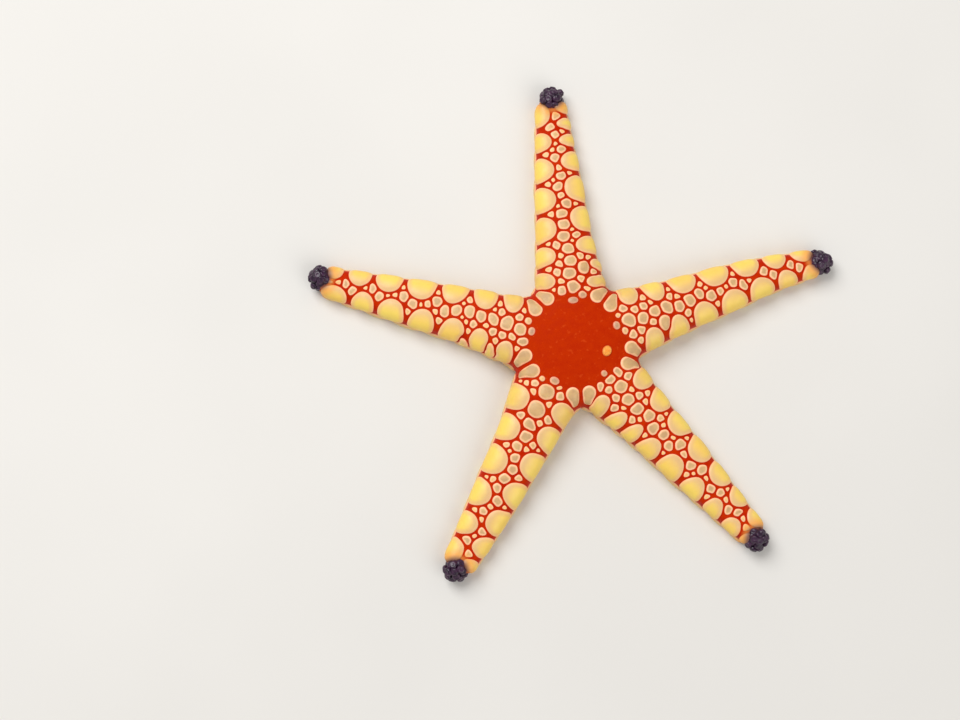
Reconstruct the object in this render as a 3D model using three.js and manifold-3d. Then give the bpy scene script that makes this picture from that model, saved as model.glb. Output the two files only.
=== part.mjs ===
// A young sea star of the genus Fromia at life size, lying on a floor with its mouth down.
//
// Lengths are in millimetres, +Z is up and the floor is z = 0. The body is worked out round the
// centre of the disc, and at the end the whole group is moved so that the middle of its base is
// the origin. Each arm has its own coordinates: s runs outwards from the disc's centre along the
// arm, and v runs across it, to the left of someone who looks outwards.

import * as THREE from 'three';
import { mergeVertices } from 'three/addons/utils/BufferGeometryUtils.js';
import Module from 'manifold-3d';

const wasm = await Module();
wasm.setup();

// ---- Driving dimensions ------------------------------------------------------------------

const ROOT = 9;                       // s where an arm is as wide as ROOT_WIDTH says
const ROOT_WIDTH = 9.4;
const END_SETBACK = 2.6;              // from the arm's full reach back to where it is endWidth wide
const WAIST = { s: 15, span: 7, depth: 0.4 };                 // narrowing beyond a straight taper
const ROOT_HEIGHT = 5.2;
const END_HEIGHT = 2.7;
const MIDDLE_SHARE = 0.42;            // height of a section's widest line, as a share of the whole
const UPPER_POWER = 2.5;              // superellipse power of the rounded upper half
const LOWER_POWER = 4.5;              // and of the flatter lower half
const SOLE_TRIM = 0.25;               // how deep the lower half is cut flat at the floor
const TIP_LIFT = 1.3;                 // how far the end of an arm curls up off the floor
const TIP_LIFT_LENGTH = 6;

const DISC_RADIUS = 8.7;
const DISC_HEIGHT = 5.7;
const WEB = 1.3;                      // how softly arms and disc flow into each other

const DISC_CUT = 10.5;                // s of the cut between the disc and an arm
const TIP_SETBACK = 3.4;              // length of the tip beyond the cut at an arm's end
const GAP = 0.3;                      // between neighbouring solids

const FURROW_WIDTH = 1.5;             // of the groove for the tube feet, at the disc
const FURROW_END_WIDTH = 0.7;
const FURROW_DEPTH = 1.4;

const KNOT_RADIUS = 1.7;              // of the knot of dark feet at an arm's tip
const FOOT_RADIUS = 0.46;
const KNOT_RINGS = [                  // rings of feet, from the outer and lower to the inner one:
  // angle of the fan they spread over, distance of the roots from the knot's middle, their height
  // as a share of the arm's, angle over the level, how much that differs from foot to foot
  { feet: 7, fan: 126, spread: 0.5, level: 0.4, lean: 14, sway: 10, length: 1.2 },
  { feet: 5, fan: 150, spread: 0.3, level: 0.62, lean: 52, sway: 6, length: 1.15 },
];

const MOUTH_RADIUS = 2.7;             // of the hole that holds the ring of jaws
const MOUTH_DEPTH = 2.2;

const UPPER_PLATES = { rise: 0.32, turn: 34, spread: 45 };    // how far the marginal plates swell
const LOWER_PLATES = { rise: 0.26, turn: -30, spread: 37 };   // out, and their place round the edge
const PLATE_POWER = 3.2;              // how square a plate's swelling is along the arm
const LEAST_PITCH = 1.5;              // spacing of the marginal plates at the ends of a row
const MOST_PITCH = 4.6;               // and in the middle of it
const NARROW_PLATE = 0.7;             // how much closer the neighbours of a narrow plate stand

// Heading in degrees from +X, reach from the disc's centre, width at the end, sideways swerve of
// the root, of the tip and of the knot of feet, and the rows of upper marginal plates on the left
// and right edges: where a row starts, how far its spacing is stretched, and which of its plates,
// if any, are narrow ones.
const ARMS = [
  { name: 'arm_1', heading: 95.0, reach: 37.3, endWidth: 4.0,
    rootSwerve: -0.2, tipSwerve: 0, knotSwerve: -0.1,
    left: { start: 6.2, stretch: 0.99 },
    right: { start: 6.4, stretch: 1.0, narrow: [1, 2, 7, 8] } },
  { name: 'arm_2', heading: 19.9, reach: 38.9, endWidth: 3.5,
    rootSwerve: 0, tipSwerve: -1.2, knotSwerve: 0,
    left: { start: 6.4, stretch: 1.06 }, right: { start: 7.6, stretch: 1.01 } },
  { name: 'arm_3', heading: -46.8, reach: 39.1, endWidth: 3.8,
    rootSwerve: -0.1, tipSwerve: -0.2, knotSwerve: -0.2,
    left: { start: 7.4, stretch: 1.01 }, right: { start: 6.5, stretch: 0.95, narrow: [3] } },
  { name: 'arm_4', heading: -117.2, reach: 37.6, endWidth: 4.3,
    rootSwerve: -0.3, tipSwerve: -0.3, knotSwerve: -0.1,
    left: { start: 7.1, stretch: 1.03 }, right: { start: 7.4, stretch: 1.11 } },
  { name: 'arm_5', heading: 165.9, reach: 38.8, endWidth: 3.9,
    rootSwerve: 0.3, tipSwerve: 0, knotSwerve: -0.25,
    left: { start: 6.6, stretch: 1.015 }, right: { start: 6.8, stretch: 1.06 } },
];
const ROOT_SWERVE_END = 17;           // s where the root's swerve has died out
const TIP_SWERVE_START = 25;          // s where the tip's swerve begins

const MADREPORITE = { x: 4.3, y: -1.5, length: 1.6, width: 1.35, thickness: 0.9, turn: 65 };

// ---- Looks of the plain solids --------------------------------------------------------------

const finish = (color, roughness) =>
  new THREE.MeshStandardMaterial({ color, roughness, metalness: 0 });
const MATERIALS = {
  disc: finish(0xc2280a, 0.75),
  arm: finish(0xf0c877, 0.5),
  tip: finish(0x3c2a4b, 0.35),
  mouth: finish(0xe8c9a0, 0.6),
  madreporite: finish(0xf2a03c, 0.6),
};

// ---- Small helpers --------------------------------------------------------------------------

const radians = THREE.MathUtils.degToRad;
const mix = THREE.MathUtils.lerp;
const limit = THREE.MathUtils.clamp;

// Smaller of two fields, rounded over where they are within `soft` of each other.
function softMin(a, b, soft) {
  const near = Math.max(soft - Math.abs(a - b), 0) / soft;
  return Math.min(a, b) - near * near * soft / 4;
}

// Signed power, for superellipses.
function signedPower(value, power) {
  return Math.sign(value) * Math.abs(value) ** power;
}

function toSolid(geometry) {
  const bare = geometry.clone();
  bare.deleteAttribute('normal');
  bare.deleteAttribute('uv');
  const merged = mergeVertices(bare, 1e-4);
  return new wasm.Manifold(new wasm.Mesh({
    numProp: 3,
    vertProperties: new Float32Array(merged.attributes.position.array),
    triVerts: new Uint32Array(merged.index.array),
  }));
}

function toMesh(name, solid, material) {
  const result = solid.getMesh();
  const geometry = new THREE.BufferGeometry();
  geometry.setAttribute('position', new THREE.BufferAttribute(result.vertProperties, 3));
  geometry.setIndex(new THREE.BufferAttribute(result.triVerts, 1));
  geometry.computeVertexNormals();
  const mesh = new THREE.Mesh(geometry, material);
  mesh.name = name;
  return mesh;
}

// Sets a point that would be under the floor on the floor, which makes a flat sole.
function aboveFloor(point) {
  return point.setZ(Math.max(point.z, 0));
}

// Closed skin over rings of points: neighbouring rings are joined by quads, and the first and
// last ring each close on a pole. The rings turn anticlockwise seen from the last pole.
function ringSolid(rings, firstPole, lastPole) {
  const around = rings[0].length;
  const points = [firstPole, ...rings.flat(), lastPole];
  const last = points.length - 1;
  const index = [];
  const at = (ring, step) => 1 + ring * around + step % around;
  for (let step = 0; step < around; step += 1) {
    index.push(0, at(0, step + 1), at(0, step));
    index.push(last, at(rings.length - 1, step), at(rings.length - 1, step + 1));
    for (let ring = 0; ring + 1 < rings.length; ring += 1) {
      index.push(at(ring, step), at(ring, step + 1), at(ring + 1, step + 1));
      index.push(at(ring, step), at(ring + 1, step + 1), at(ring + 1, step));
    }
  }
  const geometry = new THREE.BufferGeometry();
  geometry.setAttribute('position', new THREE.BufferAttribute(
    new Float32Array(points.flatMap((point) => [point.x, point.y, point.z])), 3));
  geometry.setIndex(index);
  return toSolid(geometry);
}

// ---- The body's form ------------------------------------------------------------------------

// Sideways bend of an arm's middle line at s.
function swerve(arm, s) {
  const root = limit((ROOT_SWERVE_END - s) / (ROOT_SWERVE_END - DISC_CUT), 0, 1);
  const tip = limit((s - TIP_SWERVE_START) / (arm.reach - TIP_SWERVE_START), 0, 1);
  return arm.rootSwerve * root ** 2 + arm.tipSwerve * tip ** 2;
}

// From an arm's own s, v and height z to the shared frame.
function onArm(arm, s, v, z) {
  const heading = radians(arm.heading);
  const across = v + swerve(arm, s);
  return new THREE.Vector3(
    s * Math.cos(heading) - across * Math.sin(heading),
    s * Math.sin(heading) + across * Math.cos(heading),
    z,
  );
}

// From the shared frame to an arm's own s and v.
function intoArm(arm, point) {
  const heading = radians(arm.heading);
  const s = point.x * Math.cos(heading) + point.y * Math.sin(heading);
  const across = point.y * Math.cos(heading) - point.x * Math.sin(heading);
  return { s, v: across - swerve(arm, s) };
}

// Half width, lift off the floor and height of an arm's section at s.
function armSection(arm, s) {
  const along = (s - ROOT) / (arm.reach - END_SETBACK - ROOT);
  const curl = limit((s - arm.reach + TIP_LIFT_LENGTH) / TIP_LIFT_LENGTH, 0, 1);
  const waist = WAIST.depth * Math.max(1 - ((s - WAIST.s) / WAIST.span) ** 2, 0);
  return {
    halfWidth: (mix(ROOT_WIDTH, arm.endWidth, along) - waist) / 2,
    height: mix(ROOT_HEIGHT, END_HEIGHT, Math.max(along, 0)),
    lift: TIP_LIFT * curl ** 2,
  };
}

// Field of a form with a superellipse section: about the distance outside its surface.
function sectionField(across, halfWidth, height, lift, z) {
  const middle = lift + MIDDLE_SHARE * height;
  const upper = z > middle;
  const reach = upper ? lift + height - middle : middle - lift + SOLE_TRIM;
  const power = upper ? UPPER_POWER : LOWER_POWER;
  const up = Math.abs(z - middle) / reach;
  return halfWidth * (((across / halfWidth) ** power + up ** power) ** (1 / power) - 1);
}

function armField(arm, point) {
  const { s, v } = intoArm(arm, point);
  const { halfWidth, height, lift } = armSection(arm, s);
  return sectionField(Math.hypot(v, Math.min(s, 0)), halfWidth, height, lift, point.z);
}

function discField(point) {
  return sectionField(Math.hypot(point.x, point.y), DISC_RADIUS, DISC_HEIGHT, 0, point.z);
}

// The whole body, negative inside: disc and arms flowing into each other.
function bodyField(point) {
  return ARMS.reduce((field, arm) => softMin(field, armField(arm, point), WEB), discField(point));
}

// Point where a ray from inside the body leaves it, found by halving, no further than `most`.
function surfaceAlong(origin, direction, most) {
  let inside = 0;
  let outside = most;
  for (let step = 0; step < 26; step += 1) {
    const middle = (inside + outside) / 2;
    if (bodyField(origin.clone().addScaledVector(direction, middle)) < 0) inside = middle;
    else outside = middle;
  }
  return origin.clone().addScaledVector(direction, outside);
}

// ---- Marginal plates ------------------------------------------------------------------------

// Spacing of the plates at s: closest at the disc and at the tip.
function platePitch(arm, s) {
  const along = limit((s - 4.5) / (arm.reach - 4), 0, 1);
  return LEAST_PITCH + (MOST_PITCH - LEAST_PITCH) * Math.sin(Math.PI * along) ** 0.8;
}

// Centres of a row of upper marginal plates, from the disc to just short of the tip.
function plateCentres(arm, row) {
  const last = arm.reach - 2.8;
  const centres = [];
  let s = row.start;
  while (s < last) {
    const plate = centres.length;
    const nearNarrow = row.narrow?.some((index) => index === plate || index === plate + 1);
    const half = platePitch(arm, s) * row.stretch / 2;
    centres.push(s);
    s += platePitch(arm, s + half) * row.stretch * (nearNarrow ? NARROW_PLATE : 1);
  }
  return centres;
}

// How much of its full swelling a row shows at s: 1 in the middle between two of the given
// marks along the arm, 0 at a mark.
function swelling(marks, s) {
  const next = marks.findIndex((mark) => mark > s);
  if (next < 1) return 0;
  const before = marks[next - 1];
  const fromMiddle = Math.abs(2 * (s - before) / (marks[next] - before) - 1);
  return 1 - fromMiddle ** PLATE_POWER;
}

// Boundaries between plates, halfway from each centre to the next.
function plateEdges(centres) {
  const halfways = centres.slice(1).map((centre, index) => (centre + centres[index]) / 2);
  const firstHalf = halfways[0] - centres[0];
  const lastHalf = centres.at(-1) - halfways.at(-1);
  return [centres[0] - firstHalf, ...halfways, centres.at(-1) + lastHalf];
}

// How much of its full swelling a row of plates shows at an angle above the arm's edge.
function nearRow(plates, angle) {
  const share = limit((angle - radians(plates.turn)) / radians(plates.spread), -1, 1);
  return Math.cos(share * Math.PI / 2);
}

// Outward swelling of an arm's side at s, where `turn` is the angle round the section, from 0
// at the right edge over the top to 180 degrees at the left edge, and `rows` holds the plate
// centres of both edges. The lower plates stand under the joints between the upper ones.
function plateRise(rows, s, turn) {
  const right = Math.cos(turn) > 0;
  const centres = right ? rows.right : rows.left;
  const angle = right ? turn : Math.PI - turn;
  return UPPER_PLATES.rise * nearRow(UPPER_PLATES, angle) * swelling(plateEdges(centres), s)
    + LOWER_PLATES.rise * nearRow(LOWER_PLATES, angle) * swelling(centres, s);
}

// ---- Cutting forms --------------------------------------------------------------------------

const HIGH = 12;                      // above everything

// Straight point on an arm's heading line, without its swerve.
function onHeading(arm, s, across) {
  const heading = radians(arm.heading);
  return new THREE.Vector2(
    s * Math.cos(heading) - across * Math.sin(heading),
    s * Math.sin(heading) + across * Math.cos(heading),
  );
}

// Upright block over a flat outline, through the whole height.
function block(corners) {
  const geometry = new THREE.ExtrudeGeometry(
    new THREE.Shape(corners), { depth: 2 * HIGH, bevelEnabled: false });
  return toSolid(geometry.translate(0, 0, -HIGH));
}

// Where the cut lines of two neighbouring arms cross, at s = cut on both.
function cutCorner(arm, next, cut) {
  const a = radians(arm.heading);
  const b = radians(next.heading);
  const spread = Math.sin(b - a);
  return new THREE.Vector2(
    cut * (Math.sin(b) - Math.sin(a)) / spread,
    cut * (Math.cos(a) - Math.cos(b)) / spread,
  );
}

// Five-sided block that keeps what belongs to the disc.
function discBlock() {
  const bearing = (arm) => (arm.heading + 360) % 360;
  const anticlockwise = [...ARMS].sort((a, b) => bearing(a) - bearing(b));
  return block(anticlockwise.map((arm, index) =>
    cutCorner(arm, anticlockwise[(index + 1) % ARMS.length], DISC_CUT - GAP / 2)));
}

// Block that keeps what belongs to an arm's tip.
function tipBlock(arm) {
  const from = arm.reach - TIP_SETBACK + GAP / 2;
  const to = arm.reach + 2;
  return block([
    onHeading(arm, from, -ROOT_WIDTH),
    onHeading(arm, to, -ROOT_WIDTH),
    onHeading(arm, to, ROOT_WIDTH),
    onHeading(arm, from, ROOT_WIDTH),
  ]);
}

// The groove under an arm that holds its tube feet: a channel with a ridged roof.
function furrow(arm) {
  const stations = 6;
  const start = 1;
  const shoulder = 0.6;               // height of the channel's side walls, as a share
  const rings = Array.from({ length: stations }, (_, station) => {
    const along = station / (stations - 1);
    const s = mix(start, arm.reach + 1, along);
    const halfWidth = mix(FURROW_WIDTH, FURROW_END_WIDTH, along) / 2;
    const depth = mix(FURROW_DEPTH, FURROW_DEPTH / 2, along) + armSection(arm, s).lift;
    return [
      onArm(arm, s, -halfWidth, -1),
      onArm(arm, s, halfWidth, -1),
      onArm(arm, s, halfWidth, depth * shoulder),
      onArm(arm, s, 0, depth),
      onArm(arm, s, -halfWidth, depth * shoulder),
    ];
  });
  return ringSolid(rings, onArm(arm, start, 0, 0), onArm(arm, arm.reach + 1, 0, 0));
}

// Round hole up into the disc's sole.
function mouthHole() {
  const drill = new THREE.CylinderGeometry(MOUTH_RADIUS, MOUTH_RADIUS, MOUTH_DEPTH * 2, 24);
  return toSolid(drill.rotateX(Math.PI / 2));
}

// Ellipsoid of the madreporite, grown all round by `extra`.
function madreporiteForm(extra) {
  const { x, y, length, width, thickness, turn } = MADREPORITE;
  const up = new THREE.Vector3(0, 0, 1);
  const top = surfaceAlong(new THREE.Vector3(x, y, 1), up, HIGH);
  const geometry = new THREE.SphereGeometry(1, 12, 6).rotateX(Math.PI / 2);
  geometry.scale(length / 2 + extra, width / 2 + extra, thickness / 2 + extra);
  return toSolid(geometry.rotateZ(radians(turn)).translate(x, y, top.z - thickness / 6));
}

// ---- The parts ------------------------------------------------------------------------------

// Rays go from the disc's middle to rings on a flat drum round it, so that they meet the body
// in even rows over its top, side and sole. Each ring is a share of the drum's radius and of
// its half height.
function discSolid() {
  const around = 60;
  const halfHeight = 3;
  const heart = new THREE.Vector3(0, 0, MIDDLE_SHARE * DISC_HEIGHT);
  const drum = [
    [1, -1], [1, -0.4], [1, 0.05], [1, 0.5],
    [1, 1], [0.88, 1], [0.73, 1], [0.56, 1], [0.38, 1], [0.18, 1],
  ];
  const rings = drum.map(([share, rise]) => Array.from({ length: around }, (_, step) => {
    const angle = 2 * Math.PI * step / around;
    const direction = new THREE.Vector3(
      share * ROOT * Math.cos(angle), share * ROOT * Math.sin(angle), rise * halfHeight);
    return aboveFloor(surfaceAlong(heart, direction.normalize(), DISC_CUT * 1.5));
  }));
  const up = new THREE.Vector3(0, 0, 1);
  const sole = new THREE.Vector3(0, 0, 0);
  const whole = ringSolid(rings, sole, surfaceAlong(heart, up, HIGH));
  return ARMS.reduce((solid, arm) => solid.subtract(furrow(arm)), whole.intersect(discBlock()))
    .subtract(mouthHole())
    .subtract(madreporiteForm(GAP / 3));
}

// One arm between the disc and its tip, with the swelling of its marginal plates.
function armSolid(arm) {
  const around = 20;
  const spacing = 1.25;
  const from = DISC_CUT + GAP / 2;
  const to = arm.reach - TIP_SETBACK - GAP / 2;
  const steps = Math.round((to - from) / spacing);
  const rows = { left: plateCentres(arm, arm.left), right: plateCentres(arm, arm.right) };
  const middleAt = (s) => {
    const { height, lift } = armSection(arm, s);
    return onArm(arm, s, 0, lift + MIDDLE_SHARE * height);
  };
  const rings = Array.from({ length: steps + 1 }, (_, station) => {
    const s = mix(from, to, station / steps);
    const { halfWidth, height } = armSection(arm, s);
    const middle = middleAt(s);
    return Array.from({ length: around }, (_, step) => {
      const turn = Math.PI * (0.5 - 2 * (step + 0.5) / around);
      const v = -halfWidth * signedPower(Math.cos(turn), 0.8);
      const z = middle.z + height / 2 * signedPower(Math.sin(turn), 0.8);
      const aim = onArm(arm, s, v, z).sub(middle).normalize();
      const rise = plateRise(rows, s, turn < -Math.PI ? turn + 2 * Math.PI : turn);
      return aboveFloor(surfaceAlong(middle, aim, ROOT_WIDTH).addScaledVector(aim, rise));
    });
  });
  return ringSolid(rings, middleAt(from), middleAt(to)).subtract(furrow(arm));
}

// A blunt tube foot: a stem with a round end, which stands on the origin along +Z.
function tubeFoot(radius, length) {
  const profile = [[0, 0], [radius * 0.85, 0], [radius, length * 0.75], [0, length * 1.05]];
  const points = profile.map(([x, y]) => new THREE.Vector2(x, y));
  return new THREE.LatheGeometry(points, 5).rotateX(Math.PI / 2);
}

// The dark end of an arm: a rounded stub that carries the arm's section on, and the knot of
// blunt feet that curl up round and over its end.
function tipSolid(arm) {
  const around = 10;
  const from = arm.reach - TIP_SETBACK + GAP / 2;
  const centre = arm.reach - KNOT_RADIUS;
  const to = centre + FOOT_RADIUS;
  const middleAt = (s) => {
    const { height, lift } = armSection(arm, s);
    return onArm(arm, s, 0, lift + height / 2);
  };
  const rings = [0, 30, 55, 75].map((degrees) => {
    const s = mix(from, to, Math.sin(radians(degrees)));
    const round = Math.cos(radians(degrees));
    const { halfWidth, height, lift } = armSection(arm, s);
    return Array.from({ length: around }, (_, step) => {
      const turn = Math.PI * (0.5 - 2 * (step + 0.5) / around);
      const v = -halfWidth * round * signedPower(Math.cos(turn), 0.8);
      return onArm(arm, s, v, lift + height / 2 * (1 + round * signedPower(Math.sin(turn), 0.8)));
    });
  });
  const stub = ringSolid(rings, middleAt(from), middleAt(to));
  const { height, lift } = armSection(arm, centre);
  const feet = KNOT_RINGS.flatMap((ring) => Array.from({ length: ring.feet }, (_, foot) => {
    const turn = radians(mix(-ring.fan, ring.fan, foot / (ring.feet - 1)));
    const lean = ring.lean + ring.sway * (foot % 2 ? 1 : -1);
    const root = onArm(arm, centre + ring.spread * Math.cos(turn),
      arm.knotSwerve + ring.spread * Math.sin(turn), lift + ring.level * height);
    return tubeFoot(FOOT_RADIUS, ring.length)
      .rotateY(radians(90 - lean))
      .rotateZ(turn + radians(arm.heading))
      .translate(root.x, root.y, root.z);
  }));
  return feet.reduce((solid, foot) => solid.add(toSolid(foot)), stub).intersect(tipBlock(arm));
}

// Ring of five jaws round the mouth: a collar with a wedge between each two furrows.
function mouthSolid() {
  const radius = MOUTH_RADIUS - GAP;
  const inner = radius - 0.55;
  const top = MOUTH_DEPTH - GAP;
  const bottom = 0.2;
  const profile = [[inner, bottom + 0.5], [radius, bottom + 0.2], [radius, top], [inner, top]];
  const section = [...profile, profile[0]].map(([x, y]) => new THREE.Vector2(x, y));
  const collar = new THREE.LatheGeometry(section, 24).rotateX(Math.PI / 2);
  const wedge = new THREE.Shape([
    new THREE.Vector2(0.55, 0),
    new THREE.Vector2(radius - 0.3, -0.75),
    new THREE.Vector2(radius - 0.15, 0),
    new THREE.Vector2(radius - 0.3, 0.75),
  ]);
  return ARMS.reduce((solid, arm, index) => {
    const next = ARMS[(index + 1) % ARMS.length];
    const apart = (arm.heading - next.heading + 360) % 360;
    const jaw = new THREE.ExtrudeGeometry(wedge, { depth: top - bottom, bevelEnabled: false });
    jaw.translate(0, 0, bottom).rotateZ(radians(arm.heading - apart / 2));
    return solid.add(toSolid(jaw));
  }, toSolid(collar));
}

// ---- Assembly -------------------------------------------------------------------------------

const group = new THREE.Group();
group.add(toMesh('disc', discSolid(), MATERIALS.disc));
group.add(toMesh('madreporite', madreporiteForm(0), MATERIALS.madreporite));
group.add(toMesh('mouth', mouthSolid(), MATERIALS.mouth));
for (const arm of ARMS) {
  group.add(toMesh(arm.name, armSolid(arm), MATERIALS.arm));
  group.add(toMesh(arm.name.replace('arm', 'arm_tip'), tipSolid(arm), MATERIALS.tip));
}

// The middle of the base becomes the origin.
const box = new THREE.Box3().setFromObject(group);
const middle = box.getCenter(new THREE.Vector3());
group.position.set(-middle.x, -middle.y, -box.min.z);

export default group;
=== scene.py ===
"""Looks of a young tiled sea star: one red skin over disc and arms, set with limy plates.

Sizes are in millimetres round the centre of the disc until a mesh is written, when they become
metres in the model's frame. Each arm has its own coordinates: s runs outwards from the disc's
centre, v across the arm to the left in plan, and q like v but measured over the curved surface.
"""
import math
from collections import namedtuple

import bpy
import numpy as np
from mathutils import Matrix, Vector


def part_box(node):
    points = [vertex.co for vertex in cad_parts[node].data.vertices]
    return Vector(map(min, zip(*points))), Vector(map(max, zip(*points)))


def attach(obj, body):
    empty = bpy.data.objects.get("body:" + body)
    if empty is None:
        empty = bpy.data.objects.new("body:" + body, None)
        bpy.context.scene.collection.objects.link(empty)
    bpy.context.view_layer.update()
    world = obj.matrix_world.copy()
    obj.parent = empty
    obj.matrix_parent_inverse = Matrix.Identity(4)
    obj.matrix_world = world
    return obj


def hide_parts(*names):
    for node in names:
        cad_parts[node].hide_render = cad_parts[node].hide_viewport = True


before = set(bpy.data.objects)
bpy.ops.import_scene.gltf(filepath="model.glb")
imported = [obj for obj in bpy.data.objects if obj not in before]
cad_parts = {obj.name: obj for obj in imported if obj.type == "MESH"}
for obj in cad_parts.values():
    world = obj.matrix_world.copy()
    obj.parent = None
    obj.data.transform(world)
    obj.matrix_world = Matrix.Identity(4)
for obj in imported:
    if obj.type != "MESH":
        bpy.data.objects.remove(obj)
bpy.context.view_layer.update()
MM = 0.001

# ---- Sizes ----------------------------------------------------------------------------------

# The form of the body, as in its solids.
ROOT = 9.0                     # s where an arm is as wide as ROOT_WIDTH says
ROOT_WIDTH = 9.4
END_SETBACK = 2.6              # from an arm's full reach back to where it is end_width wide
WAIST_PLACE = 15.0             # s where an arm narrows most beyond a straight taper
WAIST_SPAN = 7.0               # from there to where the narrowing ends, on either side
WAIST_DEPTH = 0.4
ROOT_HEIGHT = 5.2
END_HEIGHT = 2.7
MIDDLE_SHARE = 0.42            # height of a section's widest line, as a share of the whole
UPPER_POWER = 2.5              # of a section's superellipse above that line
LOWER_POWER = 4.5              # and below it
SOLE_TRIM = 0.25               # how far the form goes on below the level of the sole
TIP_LIFT = 1.3                 # how far an arm's end curls up
TIP_LIFT_LENGTH = 6.0          # and the length that curls
TIP_SETBACK = 3.4              # where the rounding of an arm's end starts
KNOT_RADIUS = 1.7              # of the knot of dark feet at an arm's tip
FOOT_RADIUS = 0.46
TIP_END = KNOT_RADIUS - FOOT_RADIUS    # from the end of the flesh to the arm's full reach
DISC_RADIUS = 8.7
DISC_HEIGHT = 5.7
WEB = 1.3                      # how near two parts are where a web begins to join them
DISC_CUT = 10.5                # s up to which the swerve of an arm's root is full
ROOT_SWERVE_END = 17.0         # s where it has died out
TIP_SWERVE_START = 25.0        # s where the swerve of the tip begins
FURROW_WIDTH = 1.5             # at the disc's centre
FURROW_END_WIDTH = 0.7         # at the tip
FURROW_DEPTH = 1.4
FURROW_START = 2.6             # s where its spines and bordering plates begin
FURROW_SETBACK = 3.0           # from the full reach back to where they end
MOUTH_DEPTH = 1.7
MOUTH_RADIUS = 2.4
LEAST_PITCH = 1.5              # spacing of the marginal plates at the ends of a row
MOST_PITCH = 4.6
NARROW_PLATE = 0.7             # spacing beside a narrow plate, as a share

# The skin, and the lines of it that show between two plates.
DISC_BARE = 6.7                # radius of the middle with no rows of plates, towards an arm
SKIN_DEPTH = 0.05              # how deep the skin lies under the body's form
SOLE_LEVEL = 0.14              # height of the skin's sole over the floor
SKIN_CELL = 0.24               # spacing of the skin's mesh
RED_LINE = 0.31                # between most plates
EDGE_LINE = 1.02               # between two plates of an arm's edge
SEAM_LINE = 0.5                # between the two wedges at a notch
SOLE_LINE = 0.2                # between two plates of the underside
DISC_TONE = 8.2                # radius where the disc's own red ends
DISC_TONE_FADE = 1.6           # and the breadth over which it comes in
VEIL_EDGE = DISC_BARE + 0.8    # radius where red skin begins to veil the small plates
VEIL_FADE = 1.8

# The plates.
DOME_ROOT = 0.16               # how deep a plate's rim reaches into the skin
DOME_FLOOR = 0.22              # how deep the middle of its underside lies
LEAST_REACH = 0.05             # from a plate's centre to its outline, where others crowd it
EDGE_BARE = 2.0                # breadth of an arm's edge with no small plates
BARE_SCALLOP = 1.0             # how much farther the bare middle reaches towards a notch
ROW_RADIUS = 0.86              # of the largest plates of the row along the ridge
FLANK_RADIUS = 0.54            # of the largest small plates beside that row
ROW_LEAST = 0.42               # radius of the smallest plates of the row
FLANK_LEAST = 0.22             # and of the smallest beside it
SIZE_FALL = 0.42               # how much smaller the largest are near the tip, as a share
RIDGE_BREADTH = 0.25           # how far the row's plates may lie from the ridge
RIDGE_WANDER = 0.6             # how much farther they may towards the tip
FILL_STEP = 0.11               # between the places that are tried for small plates
FILL_HALF = 4.2                # how far from the ridge they are tried
ROW_SETBACK = 2.8              # from the full reach back to where the even rows end
LAST_SETBACK = 2.1             # and back to where the last plate beside the knot ends
LOWER_SETBACK = 2.2            # and its fellow of the lower row
LEAST_LAST = 1.3               # least room for one more plate at the end of an arm's edge
WEDGE_BREADTH = 0.98           # half the breadth of a wedge's inner end
WEDGE_ASIDE = 0.98             # from a wedge's middle to the line between its arms
WEDGE_LEAN = 0.24              # how far its outer end leans towards that line, in radians
WEDGE_TAPER = 0.66             # how much narrower that end is, as a share
GREY = {"wedge": 1.0, "small": 1.0, "marginal": 0.25, "lower": 0.1, "under": 0.3}

# The knots of feet.
TIP_CORE = 1.3                 # radius of the middle of a knot of feet, where the skin is painted dark as shade under the feet
TIP_GLOW = 2.5                 # how far the warmer tones reach from there
KNOT_LIFT = TIP_LIFT * (1 - KNOT_RADIUS / TIP_LIFT_LENGTH) ** 2
KNOT_SETBACK = 0.25            # of the feet's roots from the knot's middle
FOOT_SWELL = 1.3               # how much thicker the feet are than the solids' plain ones

# A row of marginal plates: where it starts, how far its spacing is stretched, which are narrow.
Row = namedtuple("Row", "start stretch narrow", defaults=((),))
# A plate beside the even rows: its place, half its length and breadth, its turn and taper.
Extra = namedtuple("Extra", "s v along across turn taper", defaults=(0.0, 0.0))
# The line between an arm and the next one clockwise: how many degrees clockwise of midway it
# lies, and the middle and length of the two wedges beside it.
Seam = namedtuple("Seam", "turn middle length")
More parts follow.
